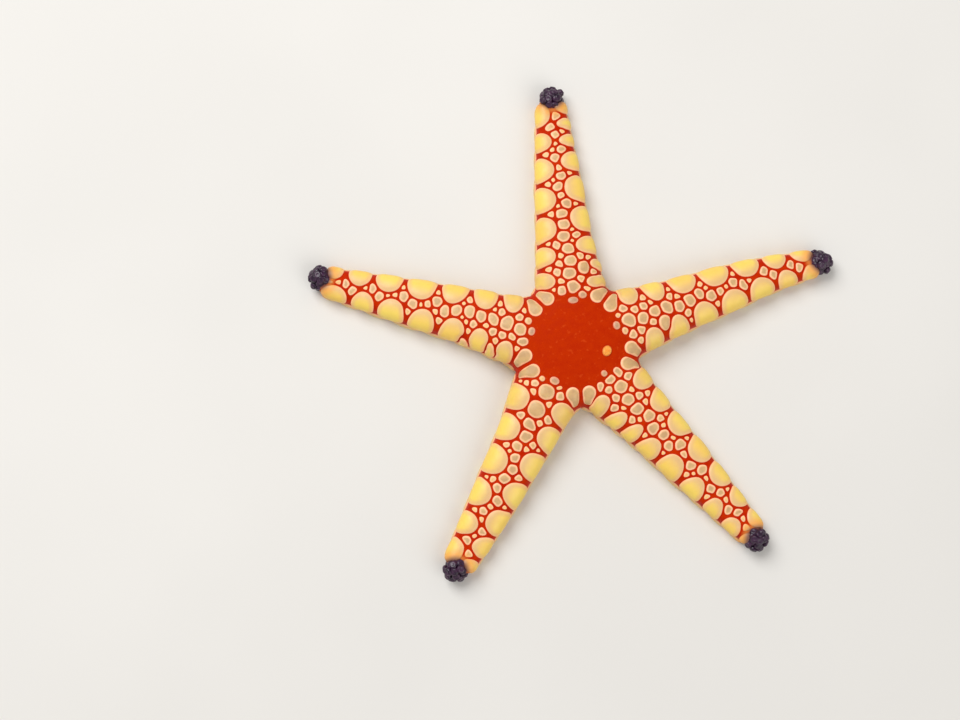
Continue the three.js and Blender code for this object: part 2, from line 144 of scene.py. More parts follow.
# An arm: its heading in degrees, its full reach from the disc's centre, its width near the end,
# how far its root, its tip and its knot of feet lie aside, the rows of its two edges, the seam
# clockwise of it, and the plates beside the rows.
Arm = namedtuple("Arm", "name heading reach end_width root_swerve tip_swerve knot_swerve"
                        " left right seam extras")
ARMS = [
    Arm("1", 95.0, 37.3, 4.0, -0.2, 0.0, -0.1, Row(6.2, 0.99), Row(6.4, 1.0, (1, 2, 7, 8)),
        Seam(3.0, 7.5, 2.8),
        [Extra(10.2, -1.95, 0.9, 0.75), Extra(5.6, 0.0, 0.38, 0.65),
         Extra(6.3, -1.4, 0.45, 0.5)]),
    Arm("2", 19.9, 38.9, 3.5, 0.0, -1.2, 0.0, Row(6.4, 1.06), Row(7.6, 1.01),
        Seam(2.0, 8.45, 2.8),
        [Extra(12.8, -1.9, 0.85, 1.05), Extra(6.1, 0.0, 0.4, 0.5),
         Extra(7.0, -1.1, 0.35, 0.45)]),
    Arm("3", -46.8, 39.1, 3.8, -0.1, -0.2, -0.2, Row(7.4, 1.01), Row(6.5, 0.95, (3,)),
        Seam(2.2, 8.1, 2.85),
        [Extra(6.1, -0.2, 0.38, 0.34), Extra(8.2, -1.3, 0.42, 0.5)]),
    Arm("4", -117.2, 37.6, 4.3, -0.3, -0.3, -0.1, Row(7.1, 1.03), Row(7.4, 1.11),
        Seam(-2.2, 8.0, 3.15),
        [Extra(6.4, 0.3, 0.45, 0.6), Extra(6.9, -1.4, 0.3, 0.35), Extra(8.3, 0.0, 1.0, 1.1),
         Extra(11.05, -0.2, 1.1, 1.2)]),
    Arm("5", 165.9, 38.8, 3.9, 0.3, 0.0, -0.25, Row(6.6, 1.015), Row(6.8, 1.06),
        Seam(-2.2, 7.5, 2.75),
        [Extra(11.3, 4.0, 1.75, 1.2, -1.45, 0.85), Extra(15.3, 3.8, 1.4, 0.95, -1.35, 0.85),
         Extra(6.2, 0.0, 0.4, 0.5), Extra(7.0, -1.3, 0.42, 0.42)]),
]

# The ring of jaws was made round the disc's centre, so its box tells where that centre is.
mouth_low, mouth_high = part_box("mouth")
CENTRE = (np.array(mouth_low) + np.array(mouth_high))[:2] / 2 / MM


# ---- Meshes ---------------------------------------------------------------------------------

def add_values(mesh, values):
    """Adds attributes: under each name, one value for every point."""
    for key, numbers in values.items():
        layer = mesh.attributes.new(key, "FLOAT", "POINT")
        layer.data.foreach_set("value", np.asarray(numbers, float).ravel())


def write_mesh(name, points, polygons, material, uv=None, attributes=None):
    """Object from points in mm round the disc's centre and a list of index arrays, one for each
    number of corners. uv gives a place for every corner and attributes a value for every point."""
    placed = np.asarray(points, float) + [CENTRE[0], CENTRE[1], 0]
    counts = np.concatenate([np.full(len(block), block.shape[1]) for block in polygons])
    corners = np.concatenate([block.ravel() for block in polygons])
    mesh = bpy.data.meshes.new(name)
    mesh.vertices.add(len(placed))
    mesh.vertices.foreach_set("co", (placed * MM).ravel())
    mesh.loops.add(len(corners))
    mesh.loops.foreach_set("vertex_index", corners.astype(np.int32))
    mesh.polygons.add(len(counts))
    starts = np.concatenate([[0], np.cumsum(counts)[:-1]])
    mesh.polygons.foreach_set("loop_start", starts.astype(np.int32))
    mesh.update(calc_edges=True)
    mesh.validate()
    mesh.polygons.foreach_set("use_smooth", np.ones(len(mesh.polygons), bool))
    if uv is not None:
        layer = mesh.uv_layers.new(name="OFBake")
        layer.data.foreach_set("uv", np.asarray(uv, float).ravel())
    add_values(mesh, attributes or {})
    mesh.materials.append(material)
    piece = bpy.data.objects.new(name, mesh)
    bpy.context.scene.collection.objects.link(piece)
    return piece


def loop_faces(rings, around):
    """Quads between closed rings of `around` points, numbered ring by ring; anticlockwise rings
    stacked outwards from the first face outwards."""
    ring, step = np.meshgrid(np.arange(rings - 1), np.arange(around), indexing="ij")
    here = ring * around + step
    beside = ring * around + (step + 1) % around
    return np.stack([here, here + around, beside + around, beside], -1).reshape(-1, 4)


def capped_faces(rings, around):
    """Faces of a closed form: a first pole, `rings` closed rings and a last pole. Rings turn
    anticlockwise seen from the first pole's outside."""
    step = np.arange(around)
    after = (step + 1) % around
    first = np.stack([np.zeros_like(step), 1 + step, 1 + after], -1)
    base = 1 + (rings - 1) * around
    last_pole = np.full_like(step, 1 + rings * around)
    last = np.stack([last_pole, base + after, base + step], -1)
    return np.concatenate([first, last]), loop_faces(rings, around) + 1


def repeat_faces(blocks, count, points_each):
    """The same faces for `count` copies of a form with `points_each` points."""
    shift = (np.arange(count) * points_each)[:, None, None]
    return [(block[None] + shift).reshape(-1, block.shape[1]) for block in blocks]


def baking_map(count, around, shares):
    """Places of the corners of `count` closed domes in the baking map: each dome has a square
    of its own, filled by its upper side as a flat disc, with the rings at `shares` of its
    radius; the hidden underside shrinks to the square's corner."""
    rings = len(shares)
    side = math.ceil(math.sqrt(count))
    tile = np.stack(np.divmod(np.arange(count), side), -1) / side
    angle = 2 * np.pi * np.arange(around) / around
    wheel = np.stack([np.cos(angle), np.sin(angle)], -1)
    flat = np.zeros((2 + rings * around, 2))
    flat[1:-1] = (np.asarray(shares)[:, None, None] * wheel).reshape(-1, 2)
    tris, quads = capped_faces(rings, around)
    corner = np.concatenate([flat[tris].reshape(-1, 2), flat[quads].reshape(-1, 2)])
    inside = 0.5 + 0.46 * corner
    inside[around * 3: around * 6] = 0.005
    uv = tile[:, None, :] + inside / side
    split = tris.size
    return np.concatenate([uv[:, :split].reshape(-1, 2), uv[:, split:].reshape(-1, 2)])


# ---- The body's form ------------------------------------------------------------------------

def swerve(arm, s):
    """Sideways bend of an arm's middle line: squared ramps at its root and at its tip."""
    root = np.clip((ROOT_SWERVE_END - s) / (ROOT_SWERVE_END - DISC_CUT), 0, 1)
    tip = np.clip((s - TIP_SWERVE_START) / (arm.reach - TIP_SWERVE_START), 0, 1)
    return arm.root_swerve * root**2 + arm.tip_swerve * tip**2


def on_arm(arm, s, v, z):
    """Points from an arm's own s and v and a height, turned to its heading."""
    s, v, z = np.broadcast_arrays(s, v, z)
    heading = math.radians(arm.heading)
    across = v + swerve(arm, s)
    x = s * math.cos(heading) - across * math.sin(heading)
    y = s * math.sin(heading) + across * math.cos(heading)
    return np.stack([x, y, z], -1).astype(float)


def into_arm(arm, points):
    """An arm's own s and v of points: on_arm the other way round."""
    heading = math.radians(arm.heading)
    s = points[..., 0] * math.cos(heading) + points[..., 1] * math.sin(heading)
    across = points[..., 1] * math.cos(heading) - points[..., 0] * math.sin(heading)
    return s, across - swerve(arm, s)


def arm_section(arm, s):
    """Half width, height and lift of an arm's section: straight tapers in s with a parabola for
    the waist, a squared curl off the floor, and a quarter circle that rounds the end."""
    along = (s - ROOT) / (arm.reach - END_SETBACK - ROOT)
    curl = np.clip((s - arm.reach + TIP_LIFT_LENGTH) / TIP_LIFT_LENGTH, 0, 1)
    waist = WAIST_DEPTH * np.maximum(1 - ((s - WAIST_PLACE) / WAIST_SPAN) ** 2, 0)
    half_width = (ROOT_WIDTH + (arm.end_width - ROOT_WIDTH) * along - waist) / 2
    height = ROOT_HEIGHT + (END_HEIGHT - ROOT_HEIGHT) * np.maximum(along, 0)
    into_end = np.clip((s - arm.reach + TIP_SETBACK) / (TIP_SETBACK - TIP_END), 0, 0.999)
    rounded = np.sqrt(1 - into_end**2)
    lift = TIP_LIFT * curl**2 + height / 2 * (1 - rounded)
    return half_width * rounded, height * rounded, lift


def furrow_half(arm, s):
    """Half the width of an arm's furrow, which narrows evenly towards the tip."""
    along = np.clip(np.asarray(s, float) / arm.reach, 0, 1)
    return (FURROW_WIDTH + (FURROW_END_WIDTH - FURROW_WIDTH) * along) / 2


def furrow_depth(arm, s):
    """Depth of an arm's furrow, which falls evenly to half at the tip."""
    return FURROW_DEPTH * (1 - np.clip(s / arm.reach, 0, 1) / 2)


def section_curve(turn, half_width, height, lift):
    """Points of a superellipse section, across and up, for turns counted from its widest line:
    it is rounder above that line than below, and SOLE_TRIM deeper than the lift says."""
    up = np.sin(turn)
    power = np.where(up > 0, UPPER_POWER, LOWER_POWER)
    across = half_width * np.sign(np.cos(turn)) * np.abs(np.cos(turn)) ** (2 / power)
    middle = lift + MIDDLE_SHARE * height
    rise = np.where(up > 0, height * (1 - MIDDLE_SHARE), middle - lift + SOLE_TRIM)
    return across, middle + rise * np.sign(up) * np.abs(up) ** (2 / power)


def section_field(across, half_width, height, lift, z):
    """Field of a superellipse section, rounder above its widest line than below: about the
    distance outside its surface."""
    middle = lift + MIDDLE_SHARE * height
    above = z > middle
    reach = np.where(above, lift + height - middle, middle - lift + SOLE_TRIM)
    power = np.where(above, UPPER_POWER, LOWER_POWER)
    up = np.abs(z - middle) / reach
    return half_width * (((across / half_width) ** power + up**power) ** (1 / power) - 1)


def body_field(points):
    """Negative inside the body: the least of the disc's and the arms' fields, each least of two
    rounded by a parabola where they are within WEB of each other."""
    z = points[..., 2]
    radius = np.hypot(points[..., 0], points[..., 1])
    field = section_field(radius, DISC_RADIUS, DISC_HEIGHT, 0.0, z)
    for arm in ARMS:
        s, v = into_arm(arm, points)
        half_width, height, lift = arm_section(arm, s)
        one = section_field(np.hypot(v, np.minimum(s, 0)), half_width, height, lift, z)
        one = np.maximum(one, s - arm.reach + TIP_END)
        near = np.maximum(WEB - np.abs(field - one), 0) / WEB
        field = np.minimum(field, one) - near**2 * WEB / 4
    return field


def body_slope(points, field):
    """Gradient of the body's field by small steps along each axis."""
    step = 1e-3
    moved = [body_field(points + step * axis) - field for axis in np.eye(3)]
    return np.stack(moved, -1) / step


def onto_body(points, level=0.0, rounds=5):
    """Points moved down or up the field's gradient until the field is `level`, and the outward
    normals there."""
    points = np.array(points, float)
    for _ in range(rounds):
        field = body_field(points)
        slope = body_slope(points, field)
        steep = np.maximum((slope**2).sum(-1), 0.05)
        move = (field - level) / steep
        points -= np.clip(move, -0.8, 0.8)[..., None] * slope
    slope = body_slope(points, body_field(points))
    return points, slope / np.linalg.norm(slope, axis=-1, keepdims=True)


def raised(points):
    """Points inside the body moved straight up to its surface, by steps of field over rise."""
    step = 1e-3
    for _ in range(8):
        field = body_field(points)
        rise = (body_field(points + [0, 0, step]) - field) / step
        move = np.clip(-field / np.maximum(rise, 0.3), -0.6, 0.6)
        points[..., 2] += np.where((field < -0.02) | (points[..., 2] > DISC_HEIGHT), move, 0)
    return points


class ArmChart:
    """Turns an arm's s and q into points of the surface. For stations along the arm, the left
    half of the section is walked from the ridge over the edge to the sole, and the place and
    height are kept at even shares of its length."""

    STATIONS = 90
    SHARES = 96

    def __init__(self, arm):
        self.arm = arm
        self.first = 4.0
        self.last = arm.reach - TIP_END - 0.02
        s = np.linspace(self.first, self.last, self.STATIONS)[:, None]
        half_width, height, lift = arm_section(arm, s)
        turn = np.linspace(np.pi / 2, -np.pi / 2, 400)[None, :]
        v, z = section_curve(turn, half_width, height, lift)
        z = np.maximum(z, lift)
        pace = np.hypot(np.diff(v), np.diff(z))
        walked = np.concatenate([np.zeros((len(s), 1)), np.cumsum(pace, 1)], 1)
        self.length = walked[:, -1]
        self.edge_share = walked[:, np.argmin(np.abs(turn))] / self.length
        share = np.linspace(0, 1, self.SHARES)
        rows = range(len(s))
        self.v = np.stack([np.interp(share * self.length[k], walked[k], v[k]) for k in rows])
        self.z = np.stack([np.interp(share * self.length[k], walked[k], z[k]) for k in rows])

    def _station(self, s):
        """The station before s, and the share of the way to the next one."""
        place = (np.asarray(s, float) - self.first) / (self.last - self.first)
        place = np.clip(place * (self.STATIONS - 1), 0, self.STATIONS - 1.001)
        low = place.astype(int)
        return low, place - low

    def edge(self, s):
        """q of the arm's widest line at s."""
        low, part = self._station(s)
        edge = self.edge_share * self.length
        return edge[low] * (1 - part) + edge[low + 1] * part

    def section(self, s, q):
        """Plan place v and height of the section's point at q."""
        low, part = self._station(s)
        length = self.length[low] * (1 - part) + self.length[low + 1] * part
        share = np.clip(np.abs(q) / length, 0, 0.9999) * (self.SHARES - 1)
        step = share.astype(int)
        rest = share - step

        def read(table):
            """A table's value between two stations and two shares."""
            near = table[low, step] * (1 - rest) + table[low, step + 1] * rest
            far = table[low + 1, step] * (1 - rest) + table[low + 1, step + 1] * rest
            return near * (1 - part) + far * part

        return np.sign(q) * read(self.v), read(self.z)

    def surface(self, s, q):
        """Points of the body at s and q, and their normals. Where the section lies inside the
        disc or a web, its points are first raised straight up to the body's top."""
        v, z = self.section(s, q)
        points = on_arm(self.arm, s, v, z)
        if np.max(np.abs(q) - self.edge(s)) < 1.0:
            points = raised(points)
        return onto_body(points)

    def below(self, s, v):
        """q of the points of the sole that lie v to the left in plan."""
        low, part = self._station(s)
        return self.length[low] * (1 - part) + self.length[low + 1] * part - v

    def sole(self, s, q):
        """Points of the skin's sole at s and q, and their normals."""
        v, _height = self.section(s, q)
        points, normal = onto_body(on_arm(self.arm, s, v, 0.0), -SKIN_DEPTH)
        points[..., 2] = np.maximum(points[..., 2], SOLE_LEVEL)
        return points, normal

    def across(self, s, v):
        """q of the point of the upper side that lies v across in plan."""
        low, _part = self._station(s)
        upper = self.v[low][: int(self.edge_share[low] * self.SHARES)]
        share = np.interp(abs(v), upper, np.arange(len(upper)) / (self.SHARES - 1))
        return float(np.sign(v) * share * self.length[low])

    def plan(self, places):
        """Places (s, q) in plan, with the arm's swerve."""
        s = places[..., 0]
        v, _height = self.section(s, places[..., 1])
        return s, v + swerve(self.arm, s)

    def wall(self, places):
        """Distance in plan from places (s, q) to the nearer of the two lines that part the arm
        from its neighbours on the disc."""
        s, v = self.plan(places)
        gaps = []
        for side in (1, -1):
            sector = seam_angle(self.arm, side)
            gaps.append(s * math.sin(sector) - side * v * math.cos(sector))
        return np.minimum(*gaps)


# ---- Skin -----------------------------------------------------------------------------------

def swept_arm(arm, start, stations, around):
    """Closed form of one arm: superellipse sections carried along its middle line."""
    s = np.linspace(start, arm.reach - TIP_END - 0.05, stations)[:, None]
    half_width, height, lift = arm_section(arm, s)
    turn = 2 * np.pi * np.arange(around)[None, :] / around
    v, z = section_curve(turn, half_width, height, lift)
    rings = on_arm(arm, np.broadcast_to(s, v.shape), -v, z)
    poles = on_arm(arm, s[[0, -1], 0], 0.0, (lift + MIDDLE_SHARE * height)[[0, -1], 0])
    return np.concatenate([poles[:1], rings.reshape(-1, 3), poles[1:]])


def round_disc(rings, around):
    """Closed form of the disc: a superellipse profile turned round the middle."""
    turn = np.linspace(np.pi / 2, -np.pi / 2, rings + 2)[1:-1, None]
    angle = 2 * np.pi * np.arange(around)[None, :] / around
    radius, z = section_curve(turn, DISC_RADIUS, DISC_HEIGHT, 0.0)
    x, y, z = np.broadcast_arrays(radius * np.cos(angle), radius * np.sin(angle), z)
    poles = np.array([[[0, 0, DISC_HEIGHT]], [[0, 0, -SOLE_TRIM]]])
    return np.concatenate([poles[0], np.stack([x, y, z], -1).reshape(-1, 3), poles[1]])


def tip_share(points):
    """0 on the body, growing to 1 at the core of a knot of feet."""
    nearest = np.full(len(points), np.inf)
    for arm in ARMS:
        s, v = into_arm(arm, points)
        far = np.hypot(s - arm.reach + KNOT_RADIUS, v - arm.knot_swerve)
        nearest = np.minimum(nearest, far)
    return np.clip(1 - (nearest - TIP_CORE) / TIP_GLOW, 0, 1)


def veil_share(points):
    """How far red skin veils a plate: 0 outside, growing to 1 towards the middle of the disc."""
    radius = np.hypot(points[:, 0], points[:, 1])
    upper = points[:, 2] > 2.5
    return np.clip((VEIL_EDGE - radius) / VEIL_FADE, 0, 1) * upper


def hollow_sole(points):
    """Raises the skin's sole into the five furrows and the mouth: a rounded trough whose depth
    falls off with the distance from its middle line."""
    level = np.maximum(points[:, 2], SOLE_LEVEL)
    under = points[:, 2] < 1.0
    radius = np.hypot(points[:, 0], points[:, 1])
    hollow = MOUTH_DEPTH * np.clip(1.3 - radius / MOUTH_RADIUS, 0, 1)
    for arm in ARMS:
        s, v = into_arm(arm, points)
        depth = furrow_depth(arm, s) * (s > 0) * (s < arm.reach - 1)
        trough = depth * np.clip(1.5 * (1 - np.abs(v) / furrow_half(arm, s)), 0, 1)
        hollow = np.maximum(hollow, trough)
    points[:, 2] = np.where(under, level + hollow, level)
    return points


def make_skin(material):
    """Disc and arms joined, remeshed in even cells and moved onto the body's form. Between
    moves, each point is drawn halfway to the mean of those it shares an edge with."""
    arm_rings, arm_around = 90, 48
    disc_rings, disc_around = 40, 120
    forms = [(round_disc(disc_rings, disc_around), disc_rings, disc_around)]
    for arm in ARMS:
        forms.append((swept_arm(arm, 3.0, arm_rings, arm_around), arm_rings, arm_around))
    points, tris, quads = [], [], []
    for form, rings, around in forms:
        shift = sum(len(block) for block in points)
        some_tris, some_quads = capped_faces(rings, around)
        points.append(form)
        tris.append(some_tris + shift)
        quads.append(some_quads + shift)
    skin = write_mesh("skin", np.concatenate(points),
                      [np.concatenate(tris), np.concatenate(quads)], material)
    remesh = skin.modifiers.new("even_cells", "REMESH")
    remesh.mode = "VOXEL"
    remesh.voxel_size = SKIN_CELL * MM
    remesh.use_smooth_shade = True
    with bpy.context.temp_override(object=skin, active_object=skin):
        bpy.ops.object.modifier_apply(modifier=remesh.name)
    mesh = skin.data
    count = len(mesh.vertices)
    placed = np.empty(count * 3)
    mesh.vertices.foreach_get("co", placed)
    placed = placed.reshape(-1, 3) / MM - [CENTRE[0], CENTRE[1], 0]
    ends = np.empty(len(mesh.edges) * 2, np.int32)
    mesh.edges.foreach_get("vertices", ends)
    ends = ends.reshape(-1, 2)
    for _ in range(3):
        placed, _normals = onto_body(placed, -SKIN_DEPTH, rounds=3)
        total = np.zeros_like(placed)
        meets = np.zeros(count)
        for one, other in (ends.T, ends.T[::-1]):
            np.add.at(total, one, placed[other])
            np.add.at(meets, one, 1)
        placed = 0.5 * placed + 0.5 * total / meets[:, None]
    placed, _normals = onto_body(placed, -SKIN_DEPTH, rounds=3)
    tip = tip_share(placed)
    radius = np.hypot(placed[:, 0], placed[:, 1])
    placed = hollow_sole(placed)
    mesh.vertices.foreach_set("co", ((placed + [CENTRE[0], CENTRE[1], 0]) * MM).ravel())
    disc = np.clip((DISC_TONE - radius) / DISC_TONE_FADE, 0, 1)
    add_values(mesh, {"tip": tip, "disc": disc})
    mesh.update()
    return skin


# ---- Layout of the plates -------------------------------------------------------------------

def plate_pitch(arm, s):
    """Spacing of the marginal plates: a blunted half sine over the arm's length."""
    along = min(max((s - 4.5) / (arm.reach - 4), 0), 1)
    return LEAST_PITCH + (MOST_PITCH - LEAST_PITCH) * math.sin(math.pi * along) ** 0.8


def plate_centres(arm, row):
    """s of the upper marginal plates of one edge, stepped outwards by their spacing."""
    centres = []
    s = row.start
    while s < arm.reach - ROW_SETBACK:
        near_narrow = {len(centres), len(centres) + 1} & set(row.narrow)
        half = plate_pitch(arm, s) * row.stretch / 2
        centres.append(s)
        s += plate_pitch(arm, s + half) * row.stretch * (NARROW_PLATE if near_narrow else 1)
    return np.array(centres)


def beside(arm, side):
    """The next arm anticlockwise (side 1) or clockwise (side -1)."""
    return ARMS[(ARMS.index(arm) - side) % len(ARMS)]


def seam_angle(arm, side):
    """Angle from an arm's middle line to the line that parts it from its neighbour."""
    apart = (beside(arm, side).heading - arm.heading) * side % 360
    turn = arm.seam.turn if side < 0 else -beside(arm, 1).seam.turn
    return math.radians(apart / 2 + turn)


def bare_gap(arm, places, v):
    """How far places lie outside the bare middle, whose edge is scalloped: it bulges towards
    the notches with the squared share of the way from the arm's middle line to the seam."""
    s = places[..., 0]
    aside = [np.abs(np.arctan2(v, s)) / seam_angle(arm, side) for side in (1, -1)]
    share = np.where(v > 0, *aside)
    return np.hypot(s, v) - DISC_BARE - BARE_SCALLOP * share**2


class Plate:
    """One plate in an arm's s and q plane: its centre, and a base form whose distance from the
    centre depends on the direction. The form is a superellipse, whose inner and outer halves
    have a breadth and a power of their own, or, with a taper, a teardrop. The plate may grow
    that far beyond its form where there is room."""

    def __init__(self, s, q, along, inward, outward, kind, turn=0.0, grow=0.0, power=2.2,
                 outer_power=2.2, taper=0.0):
        self.centre = np.array([s, q])
        self.along = along
        self.inward = inward
        self.outward = outward
        self.kind = kind
        self.turn = turn
        self.grow = grow
        self.power = power
        self.outer_power = outer_power
        self.taper = taper

    def form(self, offsets):
        """Distance from the centre to the form's edge in the direction of each offset."""
        angle = np.arctan2(offsets[..., 1], offsets[..., 0]) - self.turn
        if self.taper:
            return self.teardrop(angle)
        side = np.sin(angle) * (1 if self.centre[1] > 0 else -1)
        across = np.where(side > 0, self.outward, self.inward)
        blunt = np.where(side > 0, self.outer_power, self.power)
        flat = np.abs(np.cos(angle) / self.along) ** blunt + np.abs(side / across) ** blunt
        return flat ** (-1 / blunt)

    def teardrop(self, angle):
        """The farthest that a ray from the centre gets in circles strung along the plate, which
        shrink towards the end that its turn points at."""
        share = np.linspace(0, 1, 16)
        radius = self.outward * (1 - self.taper * share)
        near, far = radius[0] - self.along, self.along - radius[-1]
        place = near + (far - near) * share
        aside = place * np.sin(angle)[..., None]
        half_chord = np.sqrt(np.maximum(radius**2 - aside**2, 0))
        reached = place * np.cos(angle)[..., None] + half_chord
        return np.max(np.where(np.abs(aside) < radius, reached, LEAST_REACH), axis=-1)

    def grey(self):
        """How dull the plate is: a large one grows brighter away from the disc."""
        near = min(max((12 - self.centre[0]) / 5, 0), 1)
        return GREY[self.kind] + (0.35 * near if self.kind == "marginal" else 0)

    def distance(self, places):
        """How far places lie outside the form, along the ray from the centre."""
        offsets = places - self.centre
        return np.hypot(offsets[..., 0], offsets[..., 1]) - self.form(offsets)


def seam_frame(arm, side):
    """The line that parts an arm from its neighbour, as the middle line of an arm."""
    turn = side * math.degrees(seam_angle(arm, side))
    return arm._replace(heading=arm.heading + turn, root_swerve=0.0, tip_swerve=0.0)


def wedge_plate(length, s, q, turn):
    """Teardrop whose narrow end points outwards."""
    return Plate(s, q, 0.58 * length, WEDGE_BREADTH, WEDGE_BREADTH, "wedge", turn=turn,
                 taper=WEDGE_TAPER)


class WedgeShadow:
    """A wedge as the other plates of its arm meet it: distances are taken in plan."""

    def __init__(self, arm, chart, side):
        seam = arm.seam if side < 0 else beside(arm, 1).seam
        self.plate = wedge_plate(seam.length, seam.middle, -side * WEDGE_ASIDE,
                                 side * WEDGE_LEAN)
        self.chart = chart
        self.angle = side * seam_angle(arm, side)

    def distance(self, places):
        """How far places (s, q) of the arm lie outside the wedge."""
        s, v = self.chart.plan(places)
        along = s * math.cos(self.angle) + v * math.sin(self.angle)
        across = v * math.cos(self.angle) - s * math.sin(self.angle)
        return self.plate.distance(np.stack([along, across], -1))


def make_wedges(arm, material, rng):
    """The pair of wedges at the notch between an arm and the next one clockwise. Their sides
    along the seam are straight."""
    seam = seam_frame(arm, -1)

    def top(s, q):
        """Points of the body's top at s and q of the seam."""
        return onto_body(raised(on_arm(seam, s, q, 0.8 * DISC_HEIGHT)))

    def wall(places):
        """Distance to the seam, less half of what its line is broader than the others."""
        return np.abs(places[..., 1]) - (SEAM_LINE - RED_LINE) / 2

    plates = [wedge_plate(arm.seam.length, arm.seam.middle, side * WEDGE_ASIDE,
                          -side * WEDGE_LEAN) for side in (1, -1)]
    return make_domes("wedges_" + arm.name, plates, outlines(plates, 96, wall=wall), top,
                      material, 8, 0.34, 2.5, rng)


def marginal_plates(arm, chart, side, rng):
    """Upper marginal plates of one edge: rounded plates, widest near the arm's edge, whose
    inner ends come close to the ridge near the tip, and a last small one beside the knot of
    feet. The first place of the row is the wedge's."""
    centres = plate_centres(arm, arm.left if side > 0 else arm.right)
    halfways = (centres[1:] + centres[:-1]) / 2
    starts = np.concatenate([[2 * centres[0] - halfways[0]], halfways])
    ends = np.concatenate([halfways, [2 * centres[-1] - halfways[-1]]])
    starts[1] -= 0.4
    plates = []
    for s, start, end in zip(centres[1:], starts[1:], ends[1:]):
        outer = float(chart.edge(s)) + 0.3
        share = min(max((s - ROOT) / (arm.reach - TIP_SETBACK - ROOT), 0), 1)
        inner = 0.3 + 1.7 * (1 - share) ** 2.6 + rng.uniform(-0.1, 0.2)
        for extra in arm.extras:
            if abs(extra.s - s) < 0.6 and extra.v * side > 1 and extra.along > 0.5:
                inner = max(inner, abs(extra.v) + extra.across + 0.3)
        middle = inner + 0.5 * (outer - inner)
        along = (end - start - EDGE_LINE * rng.uniform(0.75, 1.2)) / 2
        plates.append(Plate((start + end) / 2, side * middle, along, middle - inner,
                            outer - middle, "marginal", turn=rng.uniform(-0.18, 0.18),
                            grow=0.14, power=rng.uniform(1.7, 2.2) + 0.6 * (1 - share) ** 3,
                            outer_power=4.5))
    last = ends[-1]
    room = arm.reach - LAST_SETBACK - last
    if room < LEAST_LAST:
        plates[-1].along += room / 2
        plates[-1].centre[0] += room / 2
        return plates
    outer = float(chart.edge(last + room / 2)) + 0.1
    plates.append(Plate(last + room / 2, side * (outer + 0.4) / 2, (room - 0.2) / 2,
                        (outer - 0.5) / 2, (outer - 0.5) / 2, "marginal"))
    return plates


def extra_plates(arm, chart):
    """Plates that lie beside the even rows."""
    plates = []
    for s, v, along, across, turn, taper in arm.extras:
        kind = "marginal" if abs(v) > 3.5 else "small"
        plates.append(Plate(s, chart.across(s, v), along, across, across, kind, turn=turn,
                            grow=0.1, taper=taper))
    return plates


def clearance(plates, places):
    """Distance from places to the nearest of the plates."""
    return np.min([plate.distance(places) for plate in plates], axis=0)


def fill_plates(arm, chart, fixed, rng):
    """Small plates between the others. Oval after oval is set where there is most room, first
    along the ridge and then everywhere, each as large as it can be up to a size that falls off
    towards the tip. Those of the ridge are broader than long."""
    s = np.arange(DISC_BARE, arm.reach - TIP_SETBACK, FILL_STEP)
    q = np.arange(-FILL_HALF, FILL_HALF + 0.01, FILL_STEP)
    places = np.stack(np.meshgrid(s, q, indexing="ij"), -1)
    _s, v = chart.plan(places)
    room = np.minimum(clearance(fixed, places), chart.wall(places) + RED_LINE / 2) - RED_LINE
    room = np.minimum(room, bare_gap(arm, places, v))
    room = np.minimum(room, chart.edge(places[..., 0]) - np.abs(places[..., 1]) - EDGE_BARE)
    along = np.clip((places[..., 0] - ROOT) / (arm.reach - TIP_SETBACK - ROOT), 0, 1)
    fall = 1 - SIZE_FALL * along
    small = []
    wander = RIDGE_WANDER * np.clip((places[..., 0] - 13) / 8, 0, 1)
    ridge = np.abs(places[..., 1]) < RIDGE_BREADTH + wander
    for cap, least, where in ((ROW_RADIUS, ROW_LEAST, ridge), (FLANK_RADIUS, FLANK_LEAST, True)):
        while True:
            wanted = np.where(where, np.minimum(room, cap * fall), -1)
            spot = np.unravel_index(int(np.argmax(wanted)), wanted.shape)
            radius = float(wanted[spot])
            if radius < least:
                break
            radius *= rng.uniform(0.84, 1.0)
            stretch = rng.uniform(1.04, 1.2) if cap == ROW_RADIUS else rng.uniform(0.85, 1.2)
            small.append(Plate(*places[spot], radius / stretch, radius * stretch,
                               radius * stretch, "small", turn=rng.uniform(-0.5, 0.5),
                               grow=0.17 + 0.38 * radius, power=2.0, outer_power=2.0))
            room = np.minimum(room, small[-1].distance(places) - RED_LINE)
    return small


def outlines(plates, around, line=RED_LINE, wall=None, others=(), shadows=()):
    """How far each plate reaches in each direction: as far as its own form and growth let it,
    and half a line short of where another plate, one of the others, a wall or a shadow is as
    near. Found by halving, then softened by a running mean round the plate."""
    angle = 2 * np.pi * np.arange(around) / around
    ray = np.stack([np.cos(angle), np.sin(angle)], -1)
    everyone = [*plates, *others]
    centres = np.array([plate.centre for plate in everyone])
    sizes = np.array([max(plate.along, plate.inward, plate.outward) for plate in everyone])
    reach = np.empty((len(plates), around))
    for index, plate in enumerate(plates):
        apart = np.hypot(*(centres - plate.centre).T)
        near = np.flatnonzero(apart < sizes + sizes[index] + 1.2)
        rivals = [everyone[k] for k in near if k != index] + list(shadows)
        low = np.full(around, LEAST_REACH)
        high = plate.form(ray) + plate.grow
        for _ in range(14):
            middle = (low + high) / 2
            places = plate.centre + middle[:, None] * ray
            own = plate.distance(places)
            fits = np.ones(around, bool)
            for rival in rivals:
                fits &= rival.distance(places) - own >= line
            if wall is not None:
                fits &= wall(places) >= line / 2
            low = np.where(fits, middle, low)
            high = np.where(fits, high, middle)
        soft = (np.roll(low, 1) + low + np.roll(low, -1)) / 3
        reach[index] = np.minimum((np.roll(soft, 1) + soft + np.roll(soft, -1)) / 3, low * 1.08)
    return reach


# ---- Plates as domes ------------------------------------------------------------------------

